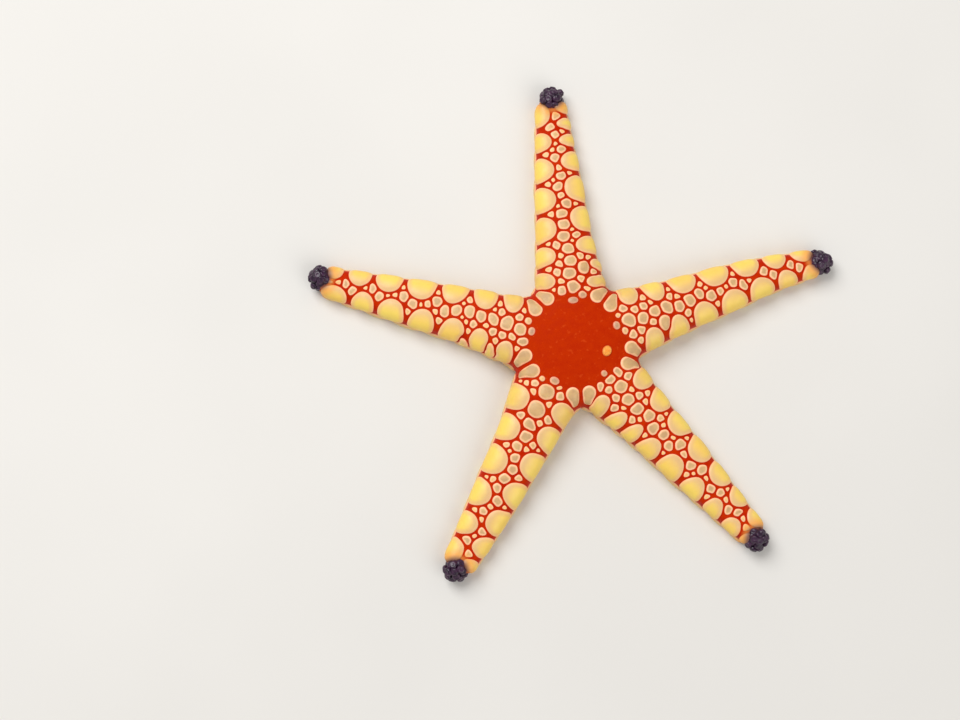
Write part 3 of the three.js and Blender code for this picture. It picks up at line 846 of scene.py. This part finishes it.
def make_domes(name, plates, reach, surface, material, rings, height, blunt, rng):
    """A closed dome on each plate's outline. A point lies on the surface at a share of the
    outline's distance, and is raised by height times (1 - share^blunt)^0.6, so that the top is
    nearly flat and the rim falls off; the last ring and the underside lie in the skin."""
    around = reach.shape[1]
    angle = 2 * np.pi * np.arange(around) / around
    share = np.append(np.sin(np.linspace(0, np.pi / 2, rings + 1)[1:]), 1.0)
    offset = share[None, :, None] * reach[:, None, :]
    centre = np.array([plate.centre for plate in plates])
    s = centre[:, 0, None, None] + offset * np.cos(angle)
    q = centre[:, 1, None, None] + offset * np.sin(angle)
    base, normal = surface(s, q)
    pole, pole_normal = surface(centre[:, 0], centre[:, 1])
    size = np.clip(reach.mean(1) / 0.8, 0.35, 1.0)
    tall = height * size * rng.uniform(0.9, 1.1, len(plates))
    rise = tall[:, None] * (1 - share[None, :] ** blunt) ** 0.6
    rise[:, -2] = 0.0
    rise[:, -1] = -DOME_ROOT
    rising = rise[:, :, None, None]
    body = base + rising * normal
    top = pole + tall[:, None] * pole_normal
    under = pole - DOME_FLOOR * pole_normal
    points = np.concatenate([top[:, None], body.reshape(len(plates), -1, 3), under[:, None]], 1)
    points[..., 2] = np.maximum(points[..., 2], 0.01)
    each = points.shape[1]
    blocks = repeat_faces(capped_faces(len(share), around), len(plates), each)
    inset = (1 - share)[None, :, None] * reach[:, None, :]
    inset = np.concatenate([reach.mean(1)[:, None], inset.reshape(len(plates), -1),
                            np.zeros((len(plates), 1))], 1)
    attributes = {
        "inset": inset.ravel(),
        "veil": veil_share(points.reshape(-1, 3))
        * np.repeat([plate.kind == "small" for plate in plates], each),
        "inward": inward_share(plates, q, each).ravel(),
        "tint": np.repeat(rng.uniform(0, 1, len(plates)), each),
        "grey": np.repeat([plate.grey() for plate in plates], each)
        * np.repeat(np.clip((reach.mean(1) - 0.25) / 0.3, 0.15, 1), each),
        "tip": tip_share(points.reshape(-1, 3)),
    }
    uv = baking_map(len(plates), around, share)
    return write_mesh(name, points.reshape(-1, 3), blocks, material, uv, attributes)


def inward_share(plates, q, each):
    """1 at a plate's inner end, falling to 0 at its outer one, across the arm."""
    share = np.full((len(plates), each), 0.5)
    flat = np.abs(q).reshape(len(plates), -1)
    low = flat.min(1, keepdims=True)
    high = flat.max(1, keepdims=True)
    share[:, 1:-1] = 1 - (flat - low) / np.maximum(high - low, 1e-6)
    return share


# ---- Underside ------------------------------------------------------------------------------

def lower_marginals(arm, chart, side):
    """Plates under the arm's edge, each below the gap between two upper ones, and a last one
    beside the knot of feet. They wrap round the corner on to the sole."""
    centres = plate_centres(arm, arm.left if side > 0 else arm.right)
    ends = np.append(centres[1:], arm.reach - LOWER_SETBACK)
    plates = []
    for start, end in zip(centres, ends):
        s = (start + end) / 2
        if end - start < LEAST_LAST:
            plates[-1].along += (end - start) / 2
            plates[-1].centre[0] += (end - start) / 2
            continue
        _half_width, height, _lift = arm_section(arm, s)
        half = (MIDDLE_SHARE * height + 0.5) / 2
        along = (end - start - RED_LINE) / 2
        plates.append(Plate(s, side * (float(chart.edge(s)) + 0.3 + half), along, half, half,
                            "lower", grow=0.3, power=2.4, outer_power=3.0))
    return plates


SOLE_ROWS = [      # offset from the furrow's edge, pitch, half length, half breadth, growth
    (0.42, 0.78, 0.33, 0.33, 0.02),
    (1.25, 1.2, 0.52, 0.42, 0.2),
    (2.2, 1.25, 0.54, 0.44, 0.25),
    (3.1, 1.3, 0.56, 0.44, 0.3),
    (4.0, 1.3, 0.56, 0.44, 0.3),
    (4.9, 1.3, 0.56, 0.44, 0.3),
]


def sole_plates(arm, chart, lower):
    """Rows of the sole, parallel to the furrow. The first row borders the furrow; the others
    end where they come near to the lower marginal plates or to the next arm's rows."""
    plates = []
    for side in (1, -1):
        sector = seam_angle(arm, side)
        for row, (offset, pitch, along, across, grow) in enumerate(SOLE_ROWS):
            s = np.arange(FURROW_START + 0.4 * row, arm.reach - FURROW_SETBACK, pitch)
            v = furrow_half(arm, s) + offset
            places = np.stack([s, side * chart.below(s, v)], -1)
            kept = s * math.sin(sector) - v * math.cos(sector) > 0.6 * across
            kept &= np.abs(places[:, 1]) > chart.edge(s) + across
            if row > 0:
                kept &= clearance(lower, places) > 0.6 * across + RED_LINE / 2
            plates += [Plate(*place, along, across, across, "under", grow=grow)
                       for place in places[kept]]
    return plates


def make_fingers(name, roots, ways, bends, lengths, widths, profile, around, material, tints):
    """Joined blunt rods. A rod's middle line is root + length (way t + bend t squared), with t
    from 0 to 1; its radius there is width times the profile's breadth, and both ends are closed
    by a pole. The rings stand square to the way."""
    count = len(roots)
    share, breadth = np.array(profile).T
    ways = ways / np.linalg.norm(ways, axis=1, keepdims=True)
    aside = np.cross(ways, np.where(np.abs(ways[:, 2:]) > 0.9, [[1, 0, 0]], [[0, 0, 1]]))
    aside /= np.linalg.norm(aside, axis=1, keepdims=True)
    third = np.cross(ways, aside)
    t = share[::-1]
    axis = roots[:, None] + lengths[:, None, None] * (
        ways[:, None] * t[None, :, None] + bends[:, None] * t[None, :, None] ** 2)
    turn = 2 * np.pi * np.arange(around) / around
    wheel = (aside[:, None] * np.cos(turn)[:, None] + third[:, None] * np.sin(turn)[:, None])
    radius = widths[:, None] * breadth[::-1][None, :]
    rings = axis[:, 1:-1, None] + radius[:, 1:-1, None, None] * wheel[:, None]
    points = np.concatenate([axis[:, :1], rings.reshape(count, -1, 3), axis[:, -1:]], 1)
    points[..., 2] = np.maximum(points[..., 2], 0.0)
    each = points.shape[1]
    blocks = repeat_faces(capped_faces(len(t) - 2, around), count, each)
    outward = np.concatenate([[0.0], np.repeat(1 - t[1:-1], around), [1.0]])
    uv = baking_map(count, around, 1 - t[1:-1])
    attributes = {"rim": np.tile(outward, count), "tint": np.repeat(tints, each),
                  "inset": np.full(count * each, 0.3)}
    return write_mesh(name, points.reshape(-1, 3), blocks, material, uv, attributes)


# Profiles of fingers: places from the root to the end, and the breadth there, as shares.
BLUNT = [(0, 0), (0, 1), (0.45, 0.92), (0.8, 0.8), (0.95, 0.5), (1, 0)]
SUCKER = [(0, 0), (0, 0.8), (0.6, 0.62), (0.8, 0.6), (0.88, 1), (0.97, 0.9), (1, 0)]
FOOT_STEPS = np.linspace(0, 1, 20)
FOOT_WRINKLES = 1 + 0.05 * np.cos(2 * np.pi * 6 * FOOT_STEPS)
FOOT_ROUNDING = np.sqrt(1 - (np.clip(FOOT_STEPS - 0.72, 0, 1) / 0.34) ** 2)
FOOT_BREADTH = (0.85 + 0.2 * FOOT_STEPS) * FOOT_WRINKLES * FOOT_ROUNDING
FOOT = [(0, 0), *zip(FOOT_STEPS, FOOT_BREADTH), (0.95, 0.34), (0.94, 0)]    # a dimpled end


def furrow_spines(arm):
    """Two blunt spines at the furrow side of each bordering plate, lying over the furrow."""
    pitch = SOLE_ROWS[0][1]
    s = np.arange(FURROW_START, arm.reach - FURROW_SETBACK, pitch)
    s = np.concatenate([s - 0.17, s + 0.17])
    roots, ways = [], []
    for side in (1, -1):
        v = side * (furrow_half(arm, s) + 0.16)
        lift = np.maximum(arm_section(arm, s)[2], 0)
        roots.append(on_arm(arm, s, v, 0.2 + lift))
        ways.append(on_arm(arm, s, v - side, 0.17 + lift) - roots[-1])
    return np.concatenate(roots), np.concatenate(ways)


def tube_feet(arm):
    """Two rows of sucker feet, hanging from the furrow's roof to just over the floor."""
    s = np.arange(2.9, arm.reach - 2.6, 0.8)
    roots, ways, lengths = [], [], []
    for side in (1, -1):
        half = furrow_half(arm, s)
        lift = arm_section(arm, s)[2]
        roof = lift + SOLE_LEVEL + furrow_depth(arm, s)
        here = s + 0.2 * side
        roots.append(on_arm(arm, here, side * half * 0.42, roof))
        ways.append(on_arm(arm, here, side * half * 0.5, 0.12 + lift) - roots[-1])
        lengths.append(roof - lift - 0.14)
    return np.concatenate(roots), np.concatenate(ways), np.concatenate(lengths)


def mouth_jaws(material, rng):
    """Five jaws, each a long dome that points to the mouth between two furrows, with a row of
    blunt spines at its inner end."""
    pieces = []
    plates = [Plate(1.75, 0.0, 0.8, 0.42, 0.42, "under")]
    roots, ways = [], []
    for arm in ARMS:
        between = seam_frame(arm, 1)

        def level(s, q, between=between):
            """Points of a level plane over the floor, which faces down."""
            points = on_arm(between, s, -q, 0.62)
            return points, np.broadcast_to([0.0, 0.0, -1.0], points.shape)

        reach = outlines(plates, 20)
        pieces.append(make_domes("jaw_" + arm.name, plates, reach, level, material, 5, 0.42,
                                 2.4, rng))
        turn = np.linspace(-1, 1, 5)
        roots.append(on_arm(between, 1.15 + 0.12 * np.abs(turn), 0.28 * turn, 0.5))
        ways.append(on_arm(between, 0.45 + 0.0 * turn, 0.4 * turn, 0.38) - roots[-1])
    roots = np.concatenate(roots)
    ways = np.concatenate(ways)
    count = len(roots)
    pieces.append(make_fingers("mouth_spines", roots, ways, np.zeros((count, 3)),
                               np.full(count, 0.55), np.full(count, 0.08), BLUNT, 8, material,
                               rng.uniform(0, 1, count)))
    return pieces


# ---- Tips and madreporite -------------------------------------------------------------------

FootRing = namedtuple("FootRing", "feet fan spread level lean sway length")
KNOT_RINGS = [                 # rings of a knot, from the outer and lower to the inner one
    FootRing(6, 120, 0.55, 0.16, -6, 4, 1.0),
    FootRing(8, 142, 0.6, 0.4, 14, 9, 1.2),
    FootRing(6, 165, 0.45, 0.62, 48, 6, 1.1),
    FootRing(3, 110, 0.35, 0.7, 74, 5, 1.0),
]


def tip_feet(arm, material, rng):
    """The knot of feet at an arm's end. The feet of a ring fan out from near the knot's middle,
    swaying up and down in turn, and curl up or aside as they go."""
    centre = arm.reach - KNOT_RADIUS - KNOT_SETBACK
    roots, ways, lengths = [], [], []
    for ring in KNOT_RINGS:
        foot = np.arange(ring.feet)
        turn = np.radians(np.linspace(-ring.fan, ring.fan, ring.feet)
                          + rng.uniform(-5, 5, ring.feet))
        lean = np.radians(ring.lean + ring.sway * np.where(foot % 2, 1, -1)
                          + rng.uniform(-5, 5, ring.feet))
        s = centre + ring.spread * np.cos(turn)
        v = arm.knot_swerve + ring.spread * np.sin(turn)
        z = KNOT_LIFT + ring.level * END_HEIGHT
        root = on_arm(arm, s, v, z)
        tip = on_arm(arm, s + np.cos(turn) * np.cos(lean), v + np.sin(turn) * np.cos(lean),
                     z + np.sin(lean))
        roots.append(root)
        ways.append(tip - root)
        lengths.append(ring.length * rng.uniform(0.92, 1.06, ring.feet))
    roots = np.concatenate(roots)
    count = len(roots)
    bends = rng.uniform(-0.15, 0.15, (count, 3)) + [0, 0, 0.1]
    widths = FOOT_RADIUS * FOOT_SWELL * rng.uniform(0.92, 1.06, count)
    return make_fingers("tip_feet_" + arm.name, roots, np.concatenate(ways), bends,
                        np.concatenate(lengths), widths, FOOT, 20, material,
                        rng.uniform(0, 1, count))


MADREPORITE = (4.3, -1.5, 1.6, 1.35, 65.0)    # place, length, width and turn


def make_madreporite(material):
    """An oval cushion with grooves that wind outwards from its middle: a dome whose height is
    lowered by a cosine of the direction, bent by a slower one that grows outwards."""
    x, y, length, width, turn = MADREPORITE
    rings, around = 22, 96
    share = np.linspace(0, 1, rings + 1)[1:, None]
    angle = 2 * np.pi * np.arange(around)[None, :] / around
    along = share * length / 2 * np.cos(angle)
    across = share * width / 2 * np.sin(angle)
    turn = math.radians(turn)
    place_x = x + along * math.cos(turn) - across * math.sin(turn)
    place_y = y + along * math.sin(turn) + across * math.cos(turn)
    start = np.stack([place_x, place_y, np.full_like(place_x, 0.9 * DISC_HEIGHT)], -1)
    base, normal = onto_body(start)
    grooves = 0.5 - 0.5 * np.cos(15 * angle + 5 * share * np.sin(3 * angle + 9 * share))
    grooves = grooves * np.clip(share / 0.35, 0, 1) * np.clip((1 - share) / 0.12, 0, 1)
    rise = 0.34 * (1 - share**3) ** 0.6 - 0.07 * grooves - 0.02
    rise = np.where(share > 0.999, -0.12, rise)
    body = base + rise[..., None] * normal
    top = body[:1].mean((0, 1), keepdims=True)[0]
    under = top - [0, 0, 0.75]
    points = np.concatenate([top, body.reshape(-1, 3), under])
    attributes = {"rim": np.concatenate([[0], np.repeat(share[:, 0], around), [1]]),
                  "groove": np.concatenate([[0], grooves.ravel(), [0]])}
    return write_mesh("madreporite_cushion", points, capped_faces(rings, around), material,
                      baking_map(1, around, share[:, 0]), attributes)


# ---- Materials ------------------------------------------------------------------------------

def colour(red, green, blue):
    """Linear colour of screen values from 0 to 255."""
    shares = np.array([red, green, blue]) / 255
    linear = np.where(shares <= 0.04045, shares / 12.92, ((shares + 0.055) / 1.055) ** 2.4)
    return (*linear, 1.0)


def new_node(tree, kind, inputs=None, **settings):
    """A node with its settings and input values. An input given as a socket is linked."""
    node = tree.nodes.new(kind)
    for key, value in settings.items():
        setattr(node, key, value)
    for key, value in (inputs or {}).items():
        if isinstance(value, bpy.types.NodeSocket):
            tree.links.new(value, node.inputs[key])
        else:
            node.inputs[key].default_value = value
    return node


def mixed(tree, factor, first, second):
    """Colour between first and second by factor."""
    node = new_node(tree, "ShaderNodeMix", {"Factor": factor, 6: first, 7: second},
                    data_type="RGBA")
    return node.outputs[2]


def ranged(tree, value, low, high, to_low=0.0, to_high=1.0):
    """Value from low to high brought to to_low to to_high with soft ends."""
    node = new_node(tree, "ShaderNodeMapRange",
                    {0: value, 1: low, 2: high, 3: to_low, 4: to_high},
                    interpolation_type="SMOOTHSTEP")
    return node.outputs[0]


def maths(tree, operation, first, second=0.0):
    """Result of one sum of two values."""
    return new_node(tree, "ShaderNodeMath", {0: first, 1: second}, operation=operation).outputs[0]


def attribute(tree, name):
    """The value that the mesh holds under a name."""
    return new_node(tree, "ShaderNodeAttribute", attribute_name=name).outputs["Fac"]


def new_group(name, inputs, outputs):
    """An empty node group with float inputs and outputs, and its two end nodes."""
    group = bpy.data.node_groups.new(name, "ShaderNodeTree")
    for key, value in inputs.items():
        socket = group.interface.new_socket(key, in_out="INPUT", socket_type="NodeSocketFloat")
        socket.default_value = value
    for key in outputs:
        group.interface.new_socket(key, in_out="OUTPUT", socket_type="NodeSocketFloat")
    return group, group.nodes.new("NodeGroupInput"), group.nodes.new("NodeGroupOutput")


def make_grain_group():
    """Round grains of one size, with a finer roughness over them: a height and the gaps."""
    group, given, made = new_group("round_grains", {"Grains per metre": 6000.0}, ["Height", "Gap"])
    place = new_node(group, "ShaderNodeTexCoord").outputs["Object"]
    grains = new_node(group, "ShaderNodeTexVoronoi",
                      {"Vector": place, "Scale": given.outputs[0], "Randomness": 0.8})
    dome = maths(group, "SUBTRACT", 1.0, grains.outputs["Distance"])
    finer = maths(group, "MULTIPLY", given.outputs[0], 2.3)
    rough = new_node(group, "ShaderNodeTexNoise", {"Vector": place, "Scale": finer,
                                                   "Detail": 2.0})
    height = maths(group, "ADD", dome, maths(group, "MULTIPLY", rough.outputs[0], 0.35))
    group.links.new(height, made.inputs["Height"])
    group.links.new(ranged(group, grains.outputs["Distance"], 0.35, 0.75), made.inputs["Gap"])
    return group


def make_mottle_group():
    """Cloudy patches between 0 and 1."""
    group, given, made = new_group("cloudy_patches", {"Patches per metre": 700.0}, ["Patch"])
    place = new_node(group, "ShaderNodeTexCoord").outputs["Object"]
    noise = new_node(group, "ShaderNodeTexNoise", {"Vector": place, "Scale": given.outputs[0],
                                                   "Detail": 3.0, "Roughness": 0.55})
    group.links.new(ranged(group, noise.outputs[0], 0.34, 0.66), made.inputs["Patch"])
    return group


GRAINS = make_grain_group()
MOTTLE = make_mottle_group()


def grouped(tree, group, value, output):
    """An output of a shared group, whose only input is set to a value."""
    node = new_node(tree, "ShaderNodeGroup", node_tree=group)
    node.inputs[0].default_value = value
    return node.outputs[output]


def new_material(name, **settings):
    """A material with one Principled shader, whose even values are given by socket name."""
    material = bpy.data.materials.new(name)
    material.use_nodes = True
    shader = material.node_tree.nodes["Principled BSDF"]
    for key, value in settings.items():
        shader.inputs[key.replace("_", " ")].default_value = value
    return material, material.node_tree, shader


def finish_shader(tree, shader, tone, rough, grains, strength, depth):
    """Links the tone and the roughness, and bumps of so many grains per metre, depth mm high."""
    height = grouped(tree, GRAINS, grains, "Height")
    bump = new_node(tree, "ShaderNodeBump", {"Height": height, "Strength": strength,
                                             "Distance": depth * MM})
    tree.links.new(tone, shader.inputs["Base Color"])
    tree.links.new(rough, shader.inputs["Roughness"])
    tree.links.new(bump.outputs[0], shader.inputs["Normal"])


TIP_HAZE = colour(112, 74, 70)


def red_skin():
    """Red with a little mottling, and faint freckles on the disc. It turns orange, then dusky,
    towards a knot of feet, and under the knot it is painted dark as shade between the feet."""
    material, tree, shader = new_material("red_skin", Specular_IOR_Level=0.2,
                                          Specular_Tint=colour(255, 150, 90))
    patch = grouped(tree, MOTTLE, 900.0, "Patch")
    gap = grouped(tree, GRAINS, 5200.0, "Gap")
    lines = mixed(tree, patch, colour(180, 28, 0), colour(192, 44, 1))
    disc = mixed(tree, patch, colour(180, 36, 0), colour(185, 42, 0))
    freckle = ranged(tree, grouped(tree, MOTTLE, 1700.0, "Patch"), 0.98, 1.0, 0.0, 0.2)
    disc = mixed(tree, freckle, disc, colour(226, 92, 34))
    tone = mixed(tree, attribute(tree, "disc"), lines, disc)
    tone = mixed(tree, maths(tree, "MULTIPLY", gap, 0.14), tone, colour(150, 16, 0))
    tip = attribute(tree, "tip")
    tone = mixed(tree, ranged(tree, tip, 0.45, 0.75, 0.0, 0.85), tone, colour(206, 122, 58))
    tone = mixed(tree, ranged(tree, tip, 0.72, 0.95), tone, TIP_HAZE)
    # painted shade: the skin under the knot of feet turns nearly black, as the shade seen between
    # the feet
    knot_shade = ranged(tree, tip, 0.97, 1.0)
    tone = mixed(tree, knot_shade, tone, colour(30, 18, 34))
    finish_shader(tree, shader, tone, ranged(tree, patch, 0, 1, 0.5, 0.66), 5200.0, 0.35, 0.05)
    return material


def limy_plates():
    """A large plate glows yellow in its middle and is tan at its inner end, a small one is tan
    all over, and each has a pale rim. Red skin veils those nearest to the disc's middle."""
    material, tree, shader = new_material("limy_plates", Subsurface_Weight=0.08,
                                          Subsurface_Scale=0.6 * MM,
                                          Subsurface_Radius=(1.0, 0.5, 0.3))
    patch = grouped(tree, MOTTLE, 800.0, "Patch")
    inset = attribute(tree, "inset")
    inward = attribute(tree, "inward")
    side = mixed(tree, ranged(tree, inward, 0.3, 0.9), colour(254, 204, 118),
                 colour(228, 186, 126))
    glow = maths(tree, "MULTIPLY", ranged(tree, inset, 0.25, 0.9),
                 ranged(tree, inward, 0.5, 0.95, 1.0, 0.0))
    glow = maths(tree, "MULTIPLY", glow, ranged(tree, inward, 0.05, 0.45, 0.35, 1.0))
    bright = mixed(tree, attribute(tree, "tint"), colour(255, 226, 92), colour(255, 213, 84))
    large = mixed(tree, glow, side, bright)
    tan = mixed(tree, patch, colour(208, 169, 114), colour(192, 152, 106))
    small = mixed(tree, ranged(tree, inset, 0.06, 0.42), colour(255, 200, 152), tan)
    tone = mixed(tree, attribute(tree, "grey"), large, small)
    veil = attribute(tree, "veil")
    tone = mixed(tree, ranged(tree, veil, 0.0, 1.0, 0.0, 0.45), tone, colour(150, 90, 100))
    rim = mixed(tree, ranged(tree, veil, 0.0, 1.0, 0.0, 0.6), colour(255, 196, 156),
                colour(235, 110, 70))
    tone = mixed(tree, ranged(tree, inset, 0.04, 0.17, 0.75, 0.0), tone, rim)
    tone = mixed(tree, ranged(tree, inset, 0.0, 0.05, 0.75, 0.0), tone, colour(224, 84, 34))
    tip = attribute(tree, "tip")
    tone = mixed(tree, ranged(tree, tip, 0.15, 0.65, 0.0, 0.85), tone, colour(238, 164, 74))
    tone = mixed(tree, ranged(tree, tip, 0.55, 0.95, 0.0, 0.95), tone, TIP_HAZE)
    finish_shader(tree, shader, tone, ranged(tree, patch, 0, 1, 0.4, 0.52), 8000.0, 0.3, 0.04)
    return material


def dark_feet():
    """Wet purple, with painted shade darkening it towards a foot's root among the crowded feet."""
    material, tree, shader = new_material("dark_feet", Coat_Weight=0.3, Coat_Roughness=0.2,
                                          Specular_IOR_Level=0.3)
    patch = grouped(tree, MOTTLE, 1500.0, "Patch")
    tone = mixed(tree, patch, colour(34, 14, 38), colour(64, 32, 62))
    # painted shade: near-black towards each foot's root, for the shade between the crowded feet
    tone = mixed(tree, ranged(tree, attribute(tree, "rim"), 0.25, 0.85), tone, colour(22, 12, 24))
    finish_shader(tree, shader, tone, ranged(tree, patch, 0, 1, 0.28, 0.4), 5000.0, 0.25, 0.04)
    return material


def pale_feet():
    """Soft cream, palest at the sucker."""
    material, tree, shader = new_material("pale_feet", Subsurface_Weight=0.2,
                                          Subsurface_Scale=0.5 * MM, Coat_Weight=0.3)
    patch = grouped(tree, MOTTLE, 1500.0, "Patch")
    tone = mixed(tree, patch, colour(250, 214, 150), colour(240, 186, 120))
    tone = mixed(tree, ranged(tree, attribute(tree, "rim"), 0.0, 0.15, 0.7, 0.0), tone,
                 colour(255, 240, 206))
    finish_shader(tree, shader, tone, ranged(tree, patch, 0, 1, 0.3, 0.42), 7000.0, 0.2, 0.03)
    return material


def sieve_plate():
    """Orange, redder in the grooves and round the rim."""
    material, tree, shader = new_material("sieve_plate", Subsurface_Weight=0.05)
    patch = grouped(tree, MOTTLE, 2600.0, "Patch")
    tone = mixed(tree, patch, colour(255, 184, 74), colour(250, 162, 60))
    groove = maths(tree, "MULTIPLY", attribute(tree, "groove"), 0.3)
    tone = mixed(tree, groove, tone, colour(214, 96, 24))
    rim = ranged(tree, attribute(tree, "rim"), 0.72, 1.0, 0.0, 0.9)
    tone = mixed(tree, rim, tone, colour(216, 80, 16))
    finish_shader(tree, shader, tone, ranged(tree, patch, 0, 1, 0.45, 0.6), 9000.0, 0.3, 0.03)
    return material


def pale_floor():
    """Matt, with hardly visible clouds."""
    material, tree, shader = new_material("pale_floor", Roughness=0.85)
    patch = grouped(tree, MOTTLE, 12.0, "Patch")
    tone = mixed(tree, patch, colour(222, 220, 216), colour(218, 216, 212))
    tree.links.new(tone, shader.inputs["Base Color"])
    return material


# ---- Putting the star together --------------------------------------------------------------

SKIN = red_skin()
LIMY = limy_plates()
DARK = dark_feet()
PALE = pale_feet()
SIEVE = sieve_plate()


def settle(piece, slot, *nodes):
    """Rides a finished piece on the body and hides the solids it stands for; slot is not used."""
    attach(piece, "root")
    if nodes:
        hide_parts(*nodes)


def dress_arm(arm, rng):
    """All the plates, spines and feet of one arm."""
    chart = ArmChart(arm)
    edges = marginal_plates(arm, chart, 1, rng) + marginal_plates(arm, chart, -1, rng)
    edges += extra_plates(arm, chart)
    shadows = [WedgeShadow(arm, chart, 1), WedgeShadow(arm, chart, -1)]
    small = fill_plates(arm, chart, edges + shadows, rng)
    reach = outlines(edges + small, 40, wall=chart.wall, shadows=shadows)
    settle(make_domes("edge_plates_" + arm.name, edges, reach[: len(edges)], chart.surface,
                      LIMY, 8, 0.34, 2.5, rng), "plates")
    settle(make_domes("back_plates_" + arm.name, small, reach[len(edges):, ::2], chart.surface,
                      LIMY, 5, 0.13, 3.0, rng), "plates")
    settle(make_wedges(arm, LIMY, rng), "plates")
    lower = lower_marginals(arm, chart, 1) + lower_marginals(arm, chart, -1)
    sole = sole_plates(arm, chart, lower)
    reach = outlines(lower + sole, 32, line=SOLE_LINE, wall=chart.wall, others=edges)
    settle(make_domes("low_plates_" + arm.name, lower, reach[: len(lower)], chart.surface,
                      LIMY, 6, 0.34, 2.2, rng), "plates")
    settle(make_domes("sole_plates_" + arm.name, sole, reach[len(lower):, ::2], chart.sole,
                      LIMY, 3, 0.2, 2.6, rng), "plates")
    roots, ways = furrow_spines(arm)
    count = len(roots)
    settle(make_fingers("furrow_spines_" + arm.name, roots, ways, np.zeros((count, 3)),
                        np.full(count, 0.5), np.full(count, 0.11), BLUNT, 8, LIMY,
                        rng.uniform(0, 1, count)), "plates")
    roots, ways, lengths = tube_feet(arm)
    count = len(roots)
    settle(make_fingers("tube_feet_" + arm.name, roots, ways, np.zeros((count, 3)), lengths,
                        np.full(count, 0.2), SUCKER, 8, PALE, rng.uniform(0, 1, count)),
           "tube_feet")
    settle(tip_feet(arm, DARK, rng), "tip_feet", "arm_tip_" + arm.name)


skin = make_skin(SKIN)
settle(skin, "skin", "disc", *("arm_" + arm.name for arm in ARMS))
for number, arm in enumerate(ARMS):
    dress_arm(arm, np.random.default_rng(100 + number))
jaws = mouth_jaws(LIMY, np.random.default_rng(7))
settle(jaws[0], "jaws", "mouth")
for jaw in jaws[1:]:
    settle(jaw, "jaws")
settle(make_madreporite(SIEVE), "madreporite", "madreporite")


# ---- Floor, light and camera ----------------------------------------------------------------

def make_floor(material):
    """A wide flat plane at the level of the sole."""
    half = 2000.0
    points = np.array([[-half, -half, 0], [half, -half, 0], [half, half, 0], [-half, half, 0]])
    floor = write_mesh("floor", points, [np.array([[0, 1, 2, 3]])], material)


def aim(thing, place, target, up):
    """Sets a lamp or camera at a place, looking at the target, with its top towards up."""
    back = (Vector(place) - Vector(target)).normalized()
    right = Vector(up).cross(back).normalized()
    above = back.cross(right)
    turned = Matrix((right, above, back)).transposed().to_4x4()
    thing.matrix_world = Matrix.Translation(Vector(place)) @ turned


def make_lamp(name, direction, distance, size, power):
    """A round soft lamp that points at the star from a direction."""
    lamp = bpy.data.lights.new(name, "AREA")
    lamp.shape = "DISK"
    lamp.size = size
    lamp.energy = power
    holder = bpy.data.objects.new(name, lamp)
    bpy.context.scene.collection.objects.link(holder)
    target = Vector((CENTRE[0] * MM, CENTRE[1] * MM, 3.0 * MM))
    place = target + Vector(direction).normalized() * distance
    aim(holder, place, target, (0, 1, 0.01))


CAMERA_AIM = (-13.22, -2.53, 3.0)      # what the lens points at, from the disc's centre
CAMERA_DISTANCE = 224.0
CAMERA_RISE = 83.0                     # angle over the floor
CAMERA_SWING = 8.0                     # how far west of south the camera stands


def make_camera():
    """The camera, high over the star and a little west of south."""
    lens = bpy.data.cameras.new("camera")
    lens.lens = 60.0
    lens.sensor_width = 36.0
    lens.clip_start = 0.01
    holder = bpy.data.objects.new("camera", lens)
    bpy.context.scene.collection.objects.link(holder)
    target = Vector(((CENTRE[0] + CAMERA_AIM[0]) * MM, (CENTRE[1] + CAMERA_AIM[1]) * MM,
                     CAMERA_AIM[2] * MM))
    rise, swing = math.radians(CAMERA_RISE), math.radians(CAMERA_SWING)
    back = Vector((-math.sin(swing) * math.cos(rise), -math.cos(swing) * math.cos(rise),
                   math.sin(rise)))
    aim(holder, target + back * CAMERA_DISTANCE * MM, target, (0, 1, 0))
    bpy.context.scene.camera = holder


make_floor(pale_floor())
make_lamp("key", direction=(-0.55, 0.6, 1.1), distance=0.5, size=0.35, power=2.0)
make_lamp("fill", direction=(0.7, -0.7, 0.9), distance=0.6, size=0.5, power=1.15)
world = bpy.data.worlds.new("studio")
world.use_nodes = True
world.node_tree.nodes["Background"].inputs["Color"].default_value = colour(241, 238, 234)
world.node_tree.nodes["Background"].inputs["Strength"].default_value = 0.5
bpy.context.scene.world = world
bpy.context.scene.view_settings.view_transform = "Standard"
make_camera()
